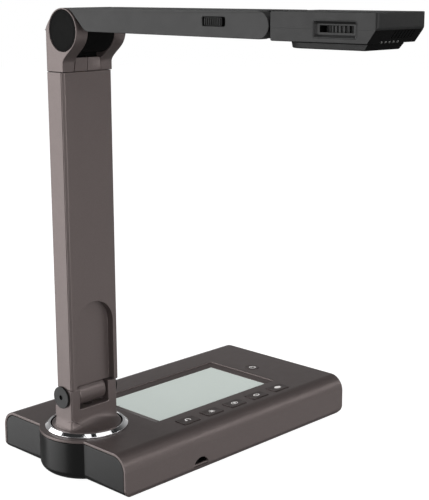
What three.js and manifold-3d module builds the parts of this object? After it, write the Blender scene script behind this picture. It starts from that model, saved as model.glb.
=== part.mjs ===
// Desktop document camera: a flat base with a display and keys, a turret that swivels, a mast that
// folds back, an arm that folds along the mast, and a tilting camera head.
// Millimetres, +Z up. Origin: on the turret's swivel axis, at the surface that the feet stand on.
// +X runs along the base's long side, away from the turret; the arm reaches out along -Y.

import * as THREE from "three";
import { mergeVertices } from "three/addons/utils/BufferGeometryUtils.js";
import Module from "manifold-3d";

const wasm = await Module();
wasm.setup();

// ---------------------------------------------------------------- driving dimensions

const GAP = 0.3; // between pieces that touch or run in each other
const WALL = 2.2; // moulded shells
const PAST = 1; // how far a cutting tool runs past the face it cuts

const BASE = {
  left: -25.2, right: 226, halfWidth: 72.8, bottom: 1.5, top: 35,
  topRadius: 12.8, bottomRadius: 5.5, // long edges
  undercutLength: 11, undercutHeight: 7.5, // the ends curve in towards the desk
  noseRadius: 36.5, // round bulge of the left end about the swivel axis
  domeDepth: 2.5, // how far the right end cap bulges
};
const FOOT = { radius: 7, height: 1.2, x: [0, 197], y: 55, centreRadius: 12 };
const SCREW = { x: [16, 210], y: 61, headRadius: 2.6, shankRadius: 1.3, bossRadius: 3.6, length: 14 };
const COVER = { left: -18.2, right: 214.8, halfWidth: 66, thickness: 2.2 };

const DISPLAY = {
  x: [45.9, 169], y: [-34.5, 31], glassTop: 33.4, // visible window
  bevelX: [38.9, 176.5], bevelY: [-36.3, 37.9], // outer edge of the sloped surround
  lip: 3, // glass that runs on under the shell
};
const KEY = { count: 5, firstX: 59.2, pitch: 26.4, y: -51.3, length: 17, width: 11, flange: 1.1, proud: 0.6 };
const POWER = { x: 190.3, y: 0.7, radius: 5.7 };
const CARD = { x: 52.3, radius: 7.9, z: 4.8, floor: 6.2, slotHalf: 6.2, slotZ: [8.4, 10.6] };
const PORTS = { x: [140, 200], z: [9, 25] };

const TURRET = {
  ringInner: 27.8, ringOuter: 31.9, ringTop: 38, discRadius: 26.8, discTop: 37.9,
  flareTop: 46.5, halfX: 22.5, halfY: 10.2, spindleRadius: 13.5, boreRadius: 5,
};
const HINGE = {
  z: 62.5, earTop: 6.9, windowHalf: 13.9, windowBottom: -9.5, barrel: 9, barrelHalf: 12.8, pin: 3,
};
const CAP = { radius: 8.45, seatRadius: 6.8, thickness: 1.4, hole: 1.8 };

// The mast, measured from the lower hinge's axis.
const MAST = {
  halfX: 22.85, near: -12.6, far: 6.7, bottom: 7.3, top: 243.1, chamfer: 1.6,
  coverBack: -10.3, wall: 2.2,
  archHalf: 18, archTop: 72.4, archDepth: 6.2, archWall: 1.4,
};
// The upper hinge's axis, measured from the lower one's.
const ELBOW = { y: -13, z: 272.3, radius: 15.7, knuckleHalf: 12.25, shaft: 4, discRadius: 14.6 };

// The arm, measured from the upper hinge's axis.
const ARM = {
  halfX: 22, top: ELBOW.radius, wristY: -183.4, wristZ: 7.4, endRadius: 8.3,
  wall: 2, cheek: 6.4, clearance: 16.3,
};
const SWITCH = { y: [-156.3, -136.8], z: [6, 11.7], slider: [-153.2, -138] };

// The head, measured from the wrist's axis.
const HEAD = {
  halfX: 22.6, rear: -9.9, front: -87.4, top: 8.4, bottom: -8.8, parting: -1.2,
  slopeZ: 0.1, slopeFootY: -80.6, wall: 1.8, lensY: -59.2,
};
const WINDOW = { y: [-73.8, -42.1], z: [-6.4, 3.9], slotY: [-70.2, -46.1], slotZ: [-3, 0.9] };
const FOCUS = { radius: 20.2, teeth: 30, toothDepth: 0.7, z: [-3.5, 1.4] };
const PLATE = { half: 17, roundY: -29.5, frontY: -74.5, bottom: -12.9 };
const LENS = { radius: 9, glassRadius: 6.8 };
const LEDS = { count: 5, pitch: 3.75, x: -1.5, radius: 0.9 };

// ---------------------------------------------------------------- solids from three.js shapes

const X = new THREE.Vector3(1, 0, 0);
const Y = new THREE.Vector3(0, 1, 0);
const Z = new THREE.Vector3(0, 0, 1);

// A closed three.js geometry as a solid that can be joined and cut.
function solidOf(geometry) {
  const bare = geometry.clone();
  bare.deleteAttribute("normal");
  bare.deleteAttribute("uv");
  const merged = mergeVertices(bare, 1e-4);
  return new wasm.Manifold(new wasm.Mesh({
    numProp: 3,
    vertProperties: merged.attributes.position.array,
    triVerts: new Uint32Array(merged.index.array),
  }));
}

function geometryOf(solid) {
  const mesh = solid.getMesh();
  const geometry = new THREE.BufferGeometry();
  geometry.setAttribute("position", new THREE.BufferAttribute(mesh.vertProperties, 3));
  geometry.setIndex(new THREE.BufferAttribute(mesh.triVerts, 1));
  const faceted = geometry.toNonIndexed();
  faceted.computeVertexNormals();
  return faceted;
}

function box([x0, x1], [y0, y1], [z0, z1]) {
  const block = new THREE.BoxGeometry(x1 - x0, y1 - y0, z1 - z0);
  return solidOf(block.translate((x0 + x1) / 2, (y0 + y1) / 2, (z0 + z1) / 2));
}

// Round bars: the centre is given in the two directions across the bar, in X, Y, Z order.
function rodX(radius, [x0, x1], [y, z] = [0, 0], sides = 28) {
  const bar = new THREE.CylinderGeometry(radius, radius, x1 - x0, sides).rotateZ(Math.PI / 2);
  return solidOf(bar.translate((x0 + x1) / 2, y, z));
}
function rodY(radius, [y0, y1], [x, z] = [0, 0], sides = 20) {
  const bar = new THREE.CylinderGeometry(radius, radius, y1 - y0, sides);
  return solidOf(bar.translate(x, (y0 + y1) / 2, z));
}
function rodZ(radius, [z0, z1], [x, y] = [0, 0], sides = 30) {
  const bar = new THREE.CylinderGeometry(radius, radius, z1 - z0, sides).rotateX(Math.PI / 2);
  return solidOf(bar.translate(x, y, (z0 + z1) / 2));
}

const extruded = (shape, depth) =>
  new THREE.ExtrudeGeometry(shape, { depth, bevelEnabled: false, curveSegments: 4 });

// An outline in the YZ plane run along X, one in XZ run along Y, and one in XY run along Z.
function alongX(shape, [x0, x1]) {
  const turn = new THREE.Matrix4().makeBasis(Y, Z, X);
  return solidOf(extruded(shape, x1 - x0).applyMatrix4(turn).translate(x0, 0, 0));
}
function alongY(shape, [y0, y1]) {
  const turn = new THREE.Matrix4().makeBasis(X, Z, Y.clone().negate());
  return solidOf(extruded(shape, y1 - y0).applyMatrix4(turn).translate(0, y1, 0));
}
function alongZ(shape, [z0, z1]) {
  return solidOf(extruded(shape, z1 - z0).translate(0, 0, z0));
}

// A profile of [radius, height] points turned about Z. It starts and ends on the axis or closes on itself.
function turned(points, sides = 36) {
  const profile = points.map(([r, z]) => new THREE.Vector2(r, z));
  return solidOf(new THREE.LatheGeometry(profile, sides).rotateX(Math.PI / 2));
}
const tube = (inner, outer, [z0, z1], sides = 32) =>
  turned([[inner, z0], [outer, z0], [outer, z1], [inner, z1], [inner, z0]], sides);

// A rectangle with its own corner radius at each end of its second axis.
function roundedRect([u0, u1], [v0, v1], lowRadius, highRadius = lowRadius) {
  const shape = new THREE.Shape();
  shape.absarc(u0 + lowRadius, v0 + lowRadius, lowRadius, Math.PI, 1.5 * Math.PI);
  shape.absarc(u1 - lowRadius, v0 + lowRadius, lowRadius, 1.5 * Math.PI, 2 * Math.PI);
  shape.absarc(u1 - highRadius, v1 - highRadius, highRadius, 0, 0.5 * Math.PI);
  shape.absarc(u0 + highRadius, v1 - highRadius, highRadius, 0.5 * Math.PI, Math.PI);
  return shape;
}

const polygon = (points) => new THREE.Shape(points.map(([u, v]) => new THREE.Vector2(u, v)));

// A solid skinned over rings of points that all have the same count, from the lowest ring up.
function loft(rings) {
  const count = rings[0].length;
  const middle = (ring) => ring.reduce((sum, p) => sum.add(p), new THREE.Vector3()).divideScalar(count);
  const points = [...rings.flat(), middle(rings[0]), middle(rings.at(-1))];
  const bottom = points.length - 2;
  const top = points.length - 1;
  const last = (rings.length - 1) * count;
  const faces = [];
  for (let i = 0; i < count; i += 1) {
    const next = (i + 1) % count;
    faces.push(bottom, next, i, top, last + i, last + next);
    for (let row = 0; row < last; row += count) {
      faces.push(row + i, row + next, row + count + next, row + i, row + count + next, row + count + i);
    }
  }
  return solidOf(new THREE.BufferGeometry().setFromPoints(points).setIndex(faces));
}

const join = (...solids) => solids.reduce((whole, s) => whole.add(s));
const cut = (solid, ...tools) => tools.reduce((rest, tool) => rest.subtract(tool), solid);
const mirroredX = (solid) => solid.mirror([1, 0, 0]);

// ---------------------------------------------------------------- finishes and scene graph

const FINISHES = {
  taupe: [0x514948, 0.42, 0.7],
  taupeLight: [0x8d8381, 0.4, 0.7],
  glossBlack: [0x2a2a2a, 0.15, 0.1],
  black: [0x3a3a3b, 0.5, 0.1],
  deepBlack: [0x161617, 0.6, 0.1],
  grey: [0x565656, 0.5, 0.3],
  chrome: [0xd8d9da, 0.08, 1],
  steel: [0x9a9c9e, 0.35, 1],
  rubber: [0x1c1c1c, 0.9, 0],
  board: [0x1f5a3a, 0.6, 0.1],
  glass: [0xbcc5bf, 0.12, 0],
  lensGlass: [0x1a2233, 0.05, 0],
  ribbon: [0xd9c49a, 0.6, 0],
  led: [0xf4f2e2, 0.3, 0],
};

function assembly(parent, x = 0, y = 0, z = 0) {
  const group = new THREE.Group();
  group.position.set(x, y, z);
  parent.add(group);
  return group;
}

function piece(group, name, finish, solid) {
  const [color, roughness, metalness] = FINISHES[finish];
  const mesh = new THREE.Mesh(
    geometryOf(solid),
    new THREE.MeshStandardMaterial({ color, roughness, metalness }),
  );
  mesh.name = name;
  group.add(mesh);
}

const camera = new THREE.Group();
const base = assembly(camera);
const turret = assembly(camera);
const mast = assembly(turret, 0, 0, HINGE.z);
const arm = assembly(mast, 0, ELBOW.y, ELBOW.z);
const head = assembly(arm, 0, ARM.wristY, ARM.wristZ);

// ---------------------------------------------------------------- base

// The base's cross-section, drawn inside its surface by inset.
function section(inset) {
  const { halfWidth, bottom, top, topRadius, bottomRadius } = BASE;
  const low = Math.max(bottomRadius - inset, 1);
  return roundedRect(
    [-halfWidth + inset, halfWidth - inset], [bottom + inset, top - inset], low, topRadius - inset,
  );
}

// The base seen from its long side: square at the top, curving in at the bottom of both ends.
function sideView() {
  const { left, right, bottom, top, undercutLength: a, undercutHeight: b } = BASE;
  const shape = new THREE.Shape();
  shape.moveTo(left, top + PAST);
  shape.lineTo(left, bottom + b);
  shape.absellipse(left + a, bottom + b, a, b, Math.PI, 1.5 * Math.PI);
  shape.absellipse(right - a, bottom + b, a, b, 1.5 * Math.PI, 2 * Math.PI);
  shape.lineTo(right, top + PAST);
  return shape;
}

// The round nose, with the same curve in at the bottom.
function nose(inset, top) {
  const { noseRadius, bottom, undercutLength: a, undercutHeight: b } = BASE;
  const radius = noseRadius - inset;
  const low = bottom + inset;
  const steps = 4;
  const profile = [[0, low]];
  for (let i = 0; i <= steps; i += 1) {
    const angle = (i / steps) * Math.PI / 2;
    profile.push([radius - a + a * Math.sin(angle), low + b - b * Math.cos(angle)]);
  }
  return turned([...profile, [radius, top], [0, top]], 48);
}

const undercut = alongY(sideView(), [-BASE.halfWidth - PAST, BASE.halfWidth + PAST]);
const plateBottom = BASE.top - WALL;
const coverTop = BASE.bottom + COVER.thickness;
const keyCentres = Array.from({ length: KEY.count }, (_, i) => KEY.firstX + i * KEY.pitch);
const screwPlaces = SCREW.x.flatMap((x) => [[x, -SCREW.y], [x, SCREW.y]]);

function rectangleRing([x0, x1], [y0, y1], z) {
  return [[x0, y0], [x1, y0], [x1, y1], [x0, y1]].map(([x, y]) => new THREE.Vector3(x, y, z));
}

function makeBaseShell() {
  const { left, right, top, halfWidth } = BASE;
  const long = [left - PAST, right + PAST];
  const skin = cut(alongX(section(0), [left, right]).intersect(undercut), alongX(section(WALL), long));
  const coverHalf = COVER.halfWidth + GAP;
  const bottomOpening = box([left - 40, right + PAST], [-coverHalf, coverHalf], [0, coverTop + PAST]);
  const noseTop = nose(0, top).intersect(box([-40, 0], [-40, 40], [plateBottom, top]));
  const bossHeight = [coverTop + 0.7, plateBottom + PAST];
  const bosses = screwPlaces.map((at) => rodZ(SCREW.bossRadius, bossHeight, at, 16));
  const screwHoles = screwPlaces.map((at) => rodZ(SCREW.shankRadius + GAP, [0, SCREW.length + 3], at, 12));
  const bevelDepth = top - DISPLAY.glassTop;
  const bevel = loft([
    rectangleRing(DISPLAY.x, DISPLAY.y, plateBottom - PAST),
    rectangleRing(DISPLAY.x, DISPLAY.y, top - bevelDepth),
    rectangleRing(DISPLAY.bevelX, DISPLAY.bevelY, top),
    rectangleRing(DISPLAY.bevelX, DISPLAY.bevelY, top + PAST),
  ]);
  const through = [plateBottom - PAST, top + PAST];
  const keyHoles = keyCentres.map((x) => alongZ(roundedRect(
    [x - KEY.length / 2 - GAP, x + KEY.length / 2 + GAP],
    [KEY.y - KEY.width / 2 - GAP, KEY.y + KEY.width / 2 + GAP], 1.2,
  ), through));
  const powerHole = rodZ(POWER.radius + GAP, through, [POWER.x, POWER.y], 32);
  const turretHole = rodZ(TURRET.spindleRadius + 1, through, [0, 0], 32);
  const nearWall = [-halfWidth - PAST, -halfWidth + WALL + PAST];
  const scoop = rodY(CARD.radius, nearWall, [CARD.x, CARD.z], 32)
    .intersect(box([0, 100], nearWall, [CARD.floor, 40]));
  const farWall = [halfWidth - WALL - PAST, halfWidth + PAST];
  const portHole = alongY(roundedRect(PORTS.x, PORTS.z, 1.5), farWall);
  return cut(
    join(cut(skin, bottomOpening), noseTop, ...bosses),
    ...screwHoles, bevel, ...keyHoles, powerHole, turretHole, scoop, portHole,
  );
}

function makeEndCapLeft() {
  const { left, top } = BASE;
  const inner = COVER.left - GAP;
  const plug = alongX(section(WALL + GAP), [left + GAP, inner]);
  const bulge = nose(0.2, plateBottom - GAP).intersect(box([-40, inner], [-40, 40], [0, top]));
  const hollow = box([left + 3, 0], [-66, 66], [12, top]);
  const noseHollow = rodZ(BASE.noseRadius - WALL - 0.2, [12, top], [0, 0], 36);
  return cut(join(plug, bulge), hollow, noseHollow).intersect(join(undercut, nose(0, top)));
}

function makeEndCapRight() {
  const { right, domeDepth } = BASE;
  const plug = alongX(section(WALL + GAP), [right - 9, right - GAP]);
  const hollow = box([right - 12, right - 3], [-66, 66], [7, 30]);
  const belly = alongZ(polygon([
    [right - PAST, -62], [right + domeDepth * 0.7, -48], [right + domeDepth, -20],
    [right + domeDepth, 20], [right + domeDepth * 0.7, 48], [right - PAST, 62],
  ]), [12, 29]);
  return join(cut(plug, hollow).intersect(undercut), belly);
}

function makeBottomCover() {
  const { bottom } = BASE;
  const plate = box(
    [COVER.left, COVER.right], [-COVER.halfWidth, COVER.halfWidth], [bottom, bottom + COVER.thickness],
  );
  const holes = screwPlaces.map((at) => join(
    rodZ(SCREW.shankRadius + GAP, [0, 6], at, 16),
    rodZ(SCREW.headRadius + GAP, [0, bottom + 1.2], at, 16),
  ));
  return cut(plate.intersect(undercut), ...holes);
}

piece(base, "base_shell", "taupe", makeBaseShell());
piece(base, "end_cap_left", "glossBlack", makeEndCapLeft());
piece(base, "end_cap_right", "glossBlack", makeEndCapRight());
piece(base, "bottom_cover", "black", makeBottomCover());

for (const [i, at] of screwPlaces.entries()) {
  const screw = join(
    rodZ(SCREW.headRadius, [BASE.bottom + 0.1, BASE.bottom + 1], at, 16),
    rodZ(SCREW.shankRadius, [BASE.bottom + 0.5, SCREW.length], at, 12),
  );
  piece(base, `cover_screw_${i + 1}`, "steel", screw);
}

const footPlaces = {
  foot_near_left: [FOOT.x[0], -FOOT.y],
  foot_far_left: [FOOT.x[0], FOOT.y],
  foot_near_right: [FOOT.x[1], -FOOT.y],
  foot_far_right: [FOOT.x[1], FOOT.y],
};
for (const [name, at] of Object.entries(footPlaces)) {
  piece(base, name, "rubber", rodZ(FOOT.radius, [0, FOOT.height], at, 24));
}
piece(base, "foot_turret", "rubber", rodZ(FOOT.centreRadius, [0, FOOT.height], [0, 0], 32));

piece(base, "ballast_plate", "steel", box([26, 190], [-53, 56], [coverTop + GAP, coverTop + GAP + 4]));
piece(base, "main_board", "board", box([30, 205], [-50, 52], [13, 14.6]));
piece(base, "keypad_board", "board", box([46, 178], [-60, -42], [26, 27.6]));

function makeDisplayGlass() {
  const grown = ([a, b], by) => [a - by, b + by];
  const held = [31.2, plateBottom - GAP];
  const under = box(grown(DISPLAY.x, DISPLAY.lip), grown(DISPLAY.y, DISPLAY.lip), held);
  const pane = box(grown(DISPLAY.x, -GAP), grown(DISPLAY.y, -GAP), [32, DISPLAY.glassTop - 0.1]);
  return join(under, pane);
}
piece(base, "display_glass", "glass", makeDisplayGlass());
piece(base, "display_module", "grey", box([44, 171], [-37, 33], [25, 30.9]));

// The card reader shows as a slot at the back of the finger scoop.
function makeCardReader() {
  const back = -BASE.halfWidth + WALL + GAP;
  const body = box([CARD.x - 10, CARD.x + 10], [back, back + 16], [5.8, 14]);
  const slot = box([CARD.x - CARD.slotHalf, CARD.x + CARD.slotHalf], [back - PAST, back + 13], CARD.slotZ);
  return cut(body, slot);
}
piece(base, "card_reader", "deepBlack", makeCardReader());

// Sockets for power and video, in the far side wall.
function makePortBlock() {
  const { x: [x0, x1], z: [z0, z1] } = PORTS;
  const face = BASE.halfWidth - 0.6;
  const body = box([x0 + 0.8, x1 - 0.8], [face - 16, face], [z0 + 0.8, z1 - 0.8]);
  const depth = [face - 11, face + PAST];
  const powerJack = rodY(3.6, depth, [x0 + 10, 17], 20);
  const videoPort = box([x0 + 20, x0 + 35], depth, [13.6, 19.2]);
  const dataPort = box([x0 + 43, x0 + 52], depth, [13, 21]);
  const centrePin = rodY(0.9, [face - 12, face - 2], [x0 + 10, 17], 8);
  return join(cut(body, powerJack, videoPort, dataPort), centrePin);
}
piece(base, "port_block", "deepBlack", makePortBlock());

const ringFoot = BASE.top + GAP;
piece(base, "chrome_ring", "chrome", turned([
  [TURRET.ringInner, ringFoot], [TURRET.ringOuter, ringFoot], [TURRET.ringOuter, ringFoot + 0.6],
  [TURRET.ringOuter - 2.4, TURRET.ringTop],
  [TURRET.ringInner + 0.5, TURRET.ringTop], [TURRET.ringInner, TURRET.ringTop - 0.5],
  [TURRET.ringInner, ringFoot],
], 48));

const housingTop = plateBottom - GAP;
piece(base, "swivel_housing", "grey", join(
  tube(TURRET.spindleRadius + GAP, TURRET.spindleRadius + 4.5, [10, housingTop]),
  tube(TURRET.spindleRadius - 3.2, TURRET.spindleRadius + 4.5, [10, 12.5]),
  tube(TURRET.spindleRadius + 2, TURRET.spindleRadius + 4.5, [coverTop + GAP, 11]),
));

// ---------------------------------------------------------------- keys

for (const [i, x] of keyCentres.entries()) {
  const halves = [KEY.length / 2, KEY.width / 2];
  const cap = alongZ(roundedRect(
    [x - halves[0], x + halves[0]], [KEY.y - halves[1], KEY.y + halves[1]], 1,
  ), [31.5, BASE.top + KEY.proud]);
  const [flangeX, flangeY] = halves.map((half) => half + KEY.flange);
  const flange = box([x - flangeX, x + flangeX], [KEY.y - flangeY, KEY.y + flangeY], [30.6, 31.8]);
  const stem = rodZ(1.6, [29, 31], [x, KEY.y], 12);
  piece(base, `key_${i + 1}`, "taupe", join(cap, flange, stem));
}
piece(base, "power_button", "taupe", join(
  rodZ(POWER.radius, [31.5, BASE.top + 0.3], [POWER.x, POWER.y], 32),
  rodZ(POWER.radius + 1.3, [30.6, 31.8], [POWER.x, POWER.y], 32),
  rodZ(1.6, [26, 31], [POWER.x, POWER.y], 12),
));

// ---------------------------------------------------------------- turret

// The bracket's foot sweeps out from a rectangle into the round disc, as one casting.
function makeFlare() {
  const { discRadius, discTop, flareTop, halfX, halfY } = TURRET;
  const around = 40;
  const levels = 4;
  const corner = 1.4;
  const ring = (radiusAt, z) => Array.from({ length: around }, (_, i) => {
    const angle = (2 * Math.PI * i) / around;
    const r = radiusAt(angle);
    return new THREE.Vector3(r * Math.cos(angle), r * Math.sin(angle), z);
  });
  const wall = (angle) => {
    const c = Math.abs(Math.cos(angle));
    const s = Math.abs(Math.sin(angle));
    return Math.min(halfX / c, halfY / s, Math.hypot(halfX, halfY) - corner / 2);
  };
  const rim = discRadius - 0.8;
  const rings = [
    ring(() => discRadius, BASE.top + GAP),
    ring(() => discRadius, discTop - 0.5),
    ring(() => rim, discTop),
  ];
  for (let i = 1; i <= levels; i += 1) {
    const t = (i / levels) * Math.PI / 2;
    const spread = 1 - Math.sin(t);
    const z = discTop + (flareTop - discTop) * (1 - Math.cos(t));
    rings.push(ring((angle) => wall(angle) + (rim - wall(angle)) * spread, z));
  }
  return loft(rings);
}

function makeTurretBracket() {
  const { flareTop, halfX, halfY, spindleRadius, boreRadius } = TURRET;
  const { z, earTop, windowHalf, windowBottom, pin } = HINGE;
  const ear = new THREE.Shape();
  ear.moveTo(-halfY, flareTop - PAST - z);
  ear.lineTo(halfY, flareTop - PAST - z);
  ear.lineTo(halfY, -9.6);
  ear.quadraticCurveTo(halfY, -7.8, earTop, -7.8);
  ear.lineTo(earTop, 0);
  ear.absarc(0, 0, earTop, 0, Math.PI / 2);
  ear.lineTo(-halfY + 1.2, earTop);
  ear.lineTo(-halfY, earTop - 1.2);
  const block = alongX(ear, [-halfX, halfX]).translate([0, 0, z]);
  const trim = alongZ(polygon([
    [-halfX + 1.4, -halfY], [halfX - 1.4, -halfY], [halfX, -halfY + 1.4], [halfX, halfY - 1.4],
    [halfX - 1.4, halfY], [-halfX + 1.4, halfY], [-halfX, halfY - 1.4], [-halfX, -halfY + 1.4],
  ]), [0, 100]);
  const window = box([-windowHalf, windowHalf], [-20, 20], [z + windowBottom, z + 20]);
  const spindle = join(
    rodZ(spindleRadius, [13, BASE.top + 1], [0, 0], 32),
    rodZ(9, [6.2, 14]),
  );
  return cut(
    join(block.intersect(trim), makeFlare(), spindle),
    window, rodX(pin + 0.1, [-30, 30], [0, z], 24), rodZ(boreRadius, [0, 60], [0, 0], 24),
  );
}
piece(turret, "turret_bracket", "taupe", makeTurretBracket());
piece(turret, "swivel_nut", "steel", cut(
  rodZ(12.6, [6.2, 9.7], [0, 0], 6), rodZ(9 + GAP, [0, 12], [0, 0]),
));

const pinHalf = TURRET.halfX - 0.2;
piece(turret, "lower_hinge_pin", "steel", rodX(HINGE.pin, [-pinHalf, pinHalf], [0, HINGE.z], 24));

function makeHingeCap() {
  const clear = -MAST.halfX - GAP;
  const to = clear - CAP.thickness;
  const seat = rodX(CAP.seatRadius, [clear - 0.5, -TURRET.halfX - 0.1], [0, HINGE.z]);
  const disc = rodX(CAP.radius, [to + 0.4, clear], [0, HINGE.z], 36);
  const crown = rodX(CAP.radius - 0.5, [to, clear - 0.5], [0, HINGE.z], 36);
  return cut(join(seat, disc, crown), rodX(CAP.hole, [to - PAST, to + 1.2], [0, HINGE.z], 12));
}
piece(turret, "hinge_cap_left", "grey", makeHingeCap());
piece(turret, "hinge_cap_right", "grey", mirroredX(makeHingeCap()));

// ---------------------------------------------------------------- mast

function makeMastKnuckle() {
  const half = HINGE.barrelHalf;
  const barrel = rodX(HINGE.barrel, [-half, half], [0, 0], 36);
  const neck = box([-half, half], [-4.1, 5.6], [3, MAST.bottom + 0.5]);
  const tongue = box([-half, half], [-4, 4], [MAST.bottom - PAST, 58]);
  return cut(join(barrel, neck, tongue), rodX(HINGE.pin + GAP, [-30, 30], [0, 0], 24));
}

function mastOutline() {
  const { halfX, near, far, chamfer } = MAST;
  return polygon([
    [-halfX + chamfer, near], [halfX - chamfer, near], [halfX, near + chamfer], [halfX, far - chamfer],
    [halfX - chamfer, far], [-halfX + chamfer, far], [-halfX, far - chamfer], [-halfX, near + chamfer],
  ]);
}

function makeMastBody() {
  const { halfX, near, far, bottom, top, coverBack, wall } = MAST;
  const bar = alongZ(mastOutline(), [bottom, top]);
  const front = box([-halfX - PAST, halfX + PAST], [near - PAST, coverBack + GAP], [0, top + PAST]);
  const hollow = box([-halfX + wall, halfX - wall], [near, far - wall], [bottom + 3, top + PAST]);
  const throat = box([-HINGE.windowHalf, HINGE.windowHalf], [near, far - 0.9], [0, bottom + 4]);
  const recessDepth = MAST.archDepth + MAST.archWall + GAP;
  const recess = box([-MAST.archHalf - 2, MAST.archHalf + 2], [near, near + recessDepth], [0, bottom + 4]);
  return cut(bar, front, hollow, throat, recess);
}

// Arch-topped outline, open at the bottom, in the XZ plane.
function archOutline(grow, bottom) {
  const half = MAST.archHalf + grow;
  const centre = MAST.archTop - MAST.archHalf;
  const shape = new THREE.Shape();
  shape.moveTo(half, bottom);
  shape.lineTo(half, centre);
  shape.absarc(0, centre, half, 0, Math.PI);
  shape.lineTo(-half, bottom);
  return shape;
}

function makeMastCover() {
  const { halfX, near, far, bottom, top, coverBack, archDepth, archWall } = MAST;
  const plate = alongZ(mastOutline(), [bottom, top])
    .intersect(box([-halfX, halfX], [near, coverBack], [0, top]));
  const tray = alongY(archOutline(archWall, bottom), [coverBack - 0.5, near + archDepth + archWall]);
  const recess = alongY(archOutline(0, bottom - PAST), [near - PAST, near + archDepth]);
  const barrelWay = rodX(HINGE.barrel + GAP, [-HINGE.windowHalf, HINGE.windowHalf], [0, 0], 36);
  return cut(join(plate, tray), recess, barrelWay).intersect(box([-halfX, halfX], [near, far], [bottom, top]));
}

piece(mast, "mast_knuckle", "taupe", makeMastKnuckle());
piece(mast, "mast_body", "taupeLight", makeMastBody());
piece(mast, "mast_front_cover", "taupe", makeMastCover());
piece(mast, "mast_ribbon_cable", "ribbon", box([-5, 5], [-2.6, -2.1], [60, MAST.top - GAP]));

// Side view of the upper yoke, measured from the upper hinge's axis.
function yokeOutline() {
  const near = MAST.near - ELBOW.y;
  const far = MAST.far - ELBOW.y;
  const foot = MAST.top + GAP - ELBOW.z;
  const { radius } = ELBOW;
  const backAngle = Math.PI / 6;
  const shape = new THREE.Shape();
  shape.moveTo(near, foot);
  shape.lineTo(far, foot);
  shape.lineTo(far, -3.8);
  shape.quadraticCurveTo(far, 2.8, radius * Math.cos(backAngle), radius * Math.sin(backAngle));
  shape.absarc(0, 0, radius, backAngle, 1.27 * Math.PI);
  shape.bezierCurveTo(-6.6, -15.4, near, -19.4, near, -23);
  return shape;
}

function makeYokeHalf() {
  const { halfX, near, far, chamfer, top } = MAST;
  const { knuckleHalf, radius, shaft, discRadius } = ELBOW;
  const ear = alongX(yokeOutline(), [-halfX, -GAP / 2]);
  const slot = join(
    rodX(radius + 0.7, [-knuckleHalf, PAST], [0, 0], 36),
    box([-knuckleHalf, PAST], [-25, 5], [-19.1, 25]),
    box([-knuckleHalf, PAST], [-25, 30], [2, 25]),
  );
  const discSeat = rodX(discRadius, [-halfX - PAST, -halfX + 1.3], [0, 0], 36);
  const bore = rodX(shaft + 0.1, [-halfX - PAST, 0], [0, 0], 24);
  const farChamfer = alongZ(polygon([
    [-halfX - PAST, far - ELBOW.y - chamfer - PAST], [-halfX + chamfer + PAST, far - ELBOW.y + PAST],
    [-halfX - PAST, far - ELBOW.y + PAST],
  ]), [-40, 0]);
  const tongueDepth = [near + 3.2 - ELBOW.y, far - 2.6 - ELBOW.y];
  const tongue = box([-19, -8], tongueDepth, [top - 14 - ELBOW.z, top + 1 - ELBOW.z]);
  return join(cut(ear, slot, discSeat, bore, farChamfer), tongue).translate([0, ELBOW.y, ELBOW.z]);
}
piece(mast, "yoke_left", "taupeLight", makeYokeHalf());
piece(mast, "yoke_right", "taupeLight", mirroredX(makeYokeHalf()));

const elbow = [ELBOW.y, ELBOW.z];
const yokeDisc = rodX(ELBOW.discRadius - 0.2, [-MAST.halfX + 0.3, -MAST.halfX + 1.1], elbow, 36);
piece(mast, "yoke_disc_left", "deepBlack", yokeDisc);
piece(mast, "yoke_disc_right", "deepBlack", mirroredX(yokeDisc));
piece(mast, "upper_shaft", "steel", rodX(ELBOW.shaft, [-MAST.halfX + 1.6, MAST.halfX - 1.6], elbow, 24));

// ---------------------------------------------------------------- arm

// Side view of the arm: hollowed round the elbow, cut back below to fold against the yoke,
// and rounded about the wrist.
function armOutline() {
  const { top, wristY, wristZ, endRadius, clearance } = ARM;
  const shape = new THREE.Shape();
  const lipY = -7;
  const kneeZ = 10.4;
  const kneeY = -Math.sqrt(clearance ** 2 - kneeZ ** 2);
  shape.moveTo(lipY, top);
  shape.lineTo(wristY, wristZ + endRadius);
  shape.absarc(wristY, wristZ, endRadius, Math.PI / 2, 1.5 * Math.PI);
  shape.lineTo(-27, -0.1);
  shape.quadraticCurveTo(-23.4, 0, -21.2, 2.4);
  shape.lineTo(kneeY, kneeZ);
  const start = Math.atan2(kneeZ, kneeY);
  const end = Math.atan2(Math.sqrt(clearance ** 2 - lipY ** 2), lipY);
  shape.absarc(0, 0, clearance, start, end, true);
  return shape;
}

function makeArmBody() {
  const { halfX, wall, wristY, wristZ, cheek, top } = ARM;
  const bar = alongX(armOutline(), [-halfX, halfX]);
  const hollowEnds = [wristY + 22, -24];
  const hollow = box([-halfX + wall, halfX - wall], hollowEnds, [1.6, top + PAST]);
  const rebate = box([-halfX + 1.4, halfX - 1.4], [hollowEnds[0] - 4, -15], [top - 1.9, top + PAST]);
  const tongueWay = box([-12.3, 12.3], [-30, 0], [1.9, 13.6]);
  const wristSlot = box([-halfX + cheek, halfX - cheek], [wristY - 20, wristY + 9.6], [-5, top + PAST]);
  const switchHole = alongX(roundedRect(SWITCH.y, SWITCH.z, 1), [-halfX - PAST, -halfX + wall + PAST]);
  const pinHole = rodX(2.1, [-halfX + 1.5, halfX - 1.5], [wristY, wristZ], 20);
  return cut(bar, hollow, rebate, tongueWay, wristSlot, switchHole, pinHole);
}

function makeArmKnuckle() {
  const half = ELBOW.knuckleHalf - GAP;
  const barrel = rodX(ELBOW.radius, [-half, half], [0, 0], 36);
  const tongue = box([-half, half], [-52, -6], [2.2, 13.2]);
  return cut(join(barrel, tongue), rodX(ELBOW.shaft + GAP, [-30, 30], [0, 0], 24));
}

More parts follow.
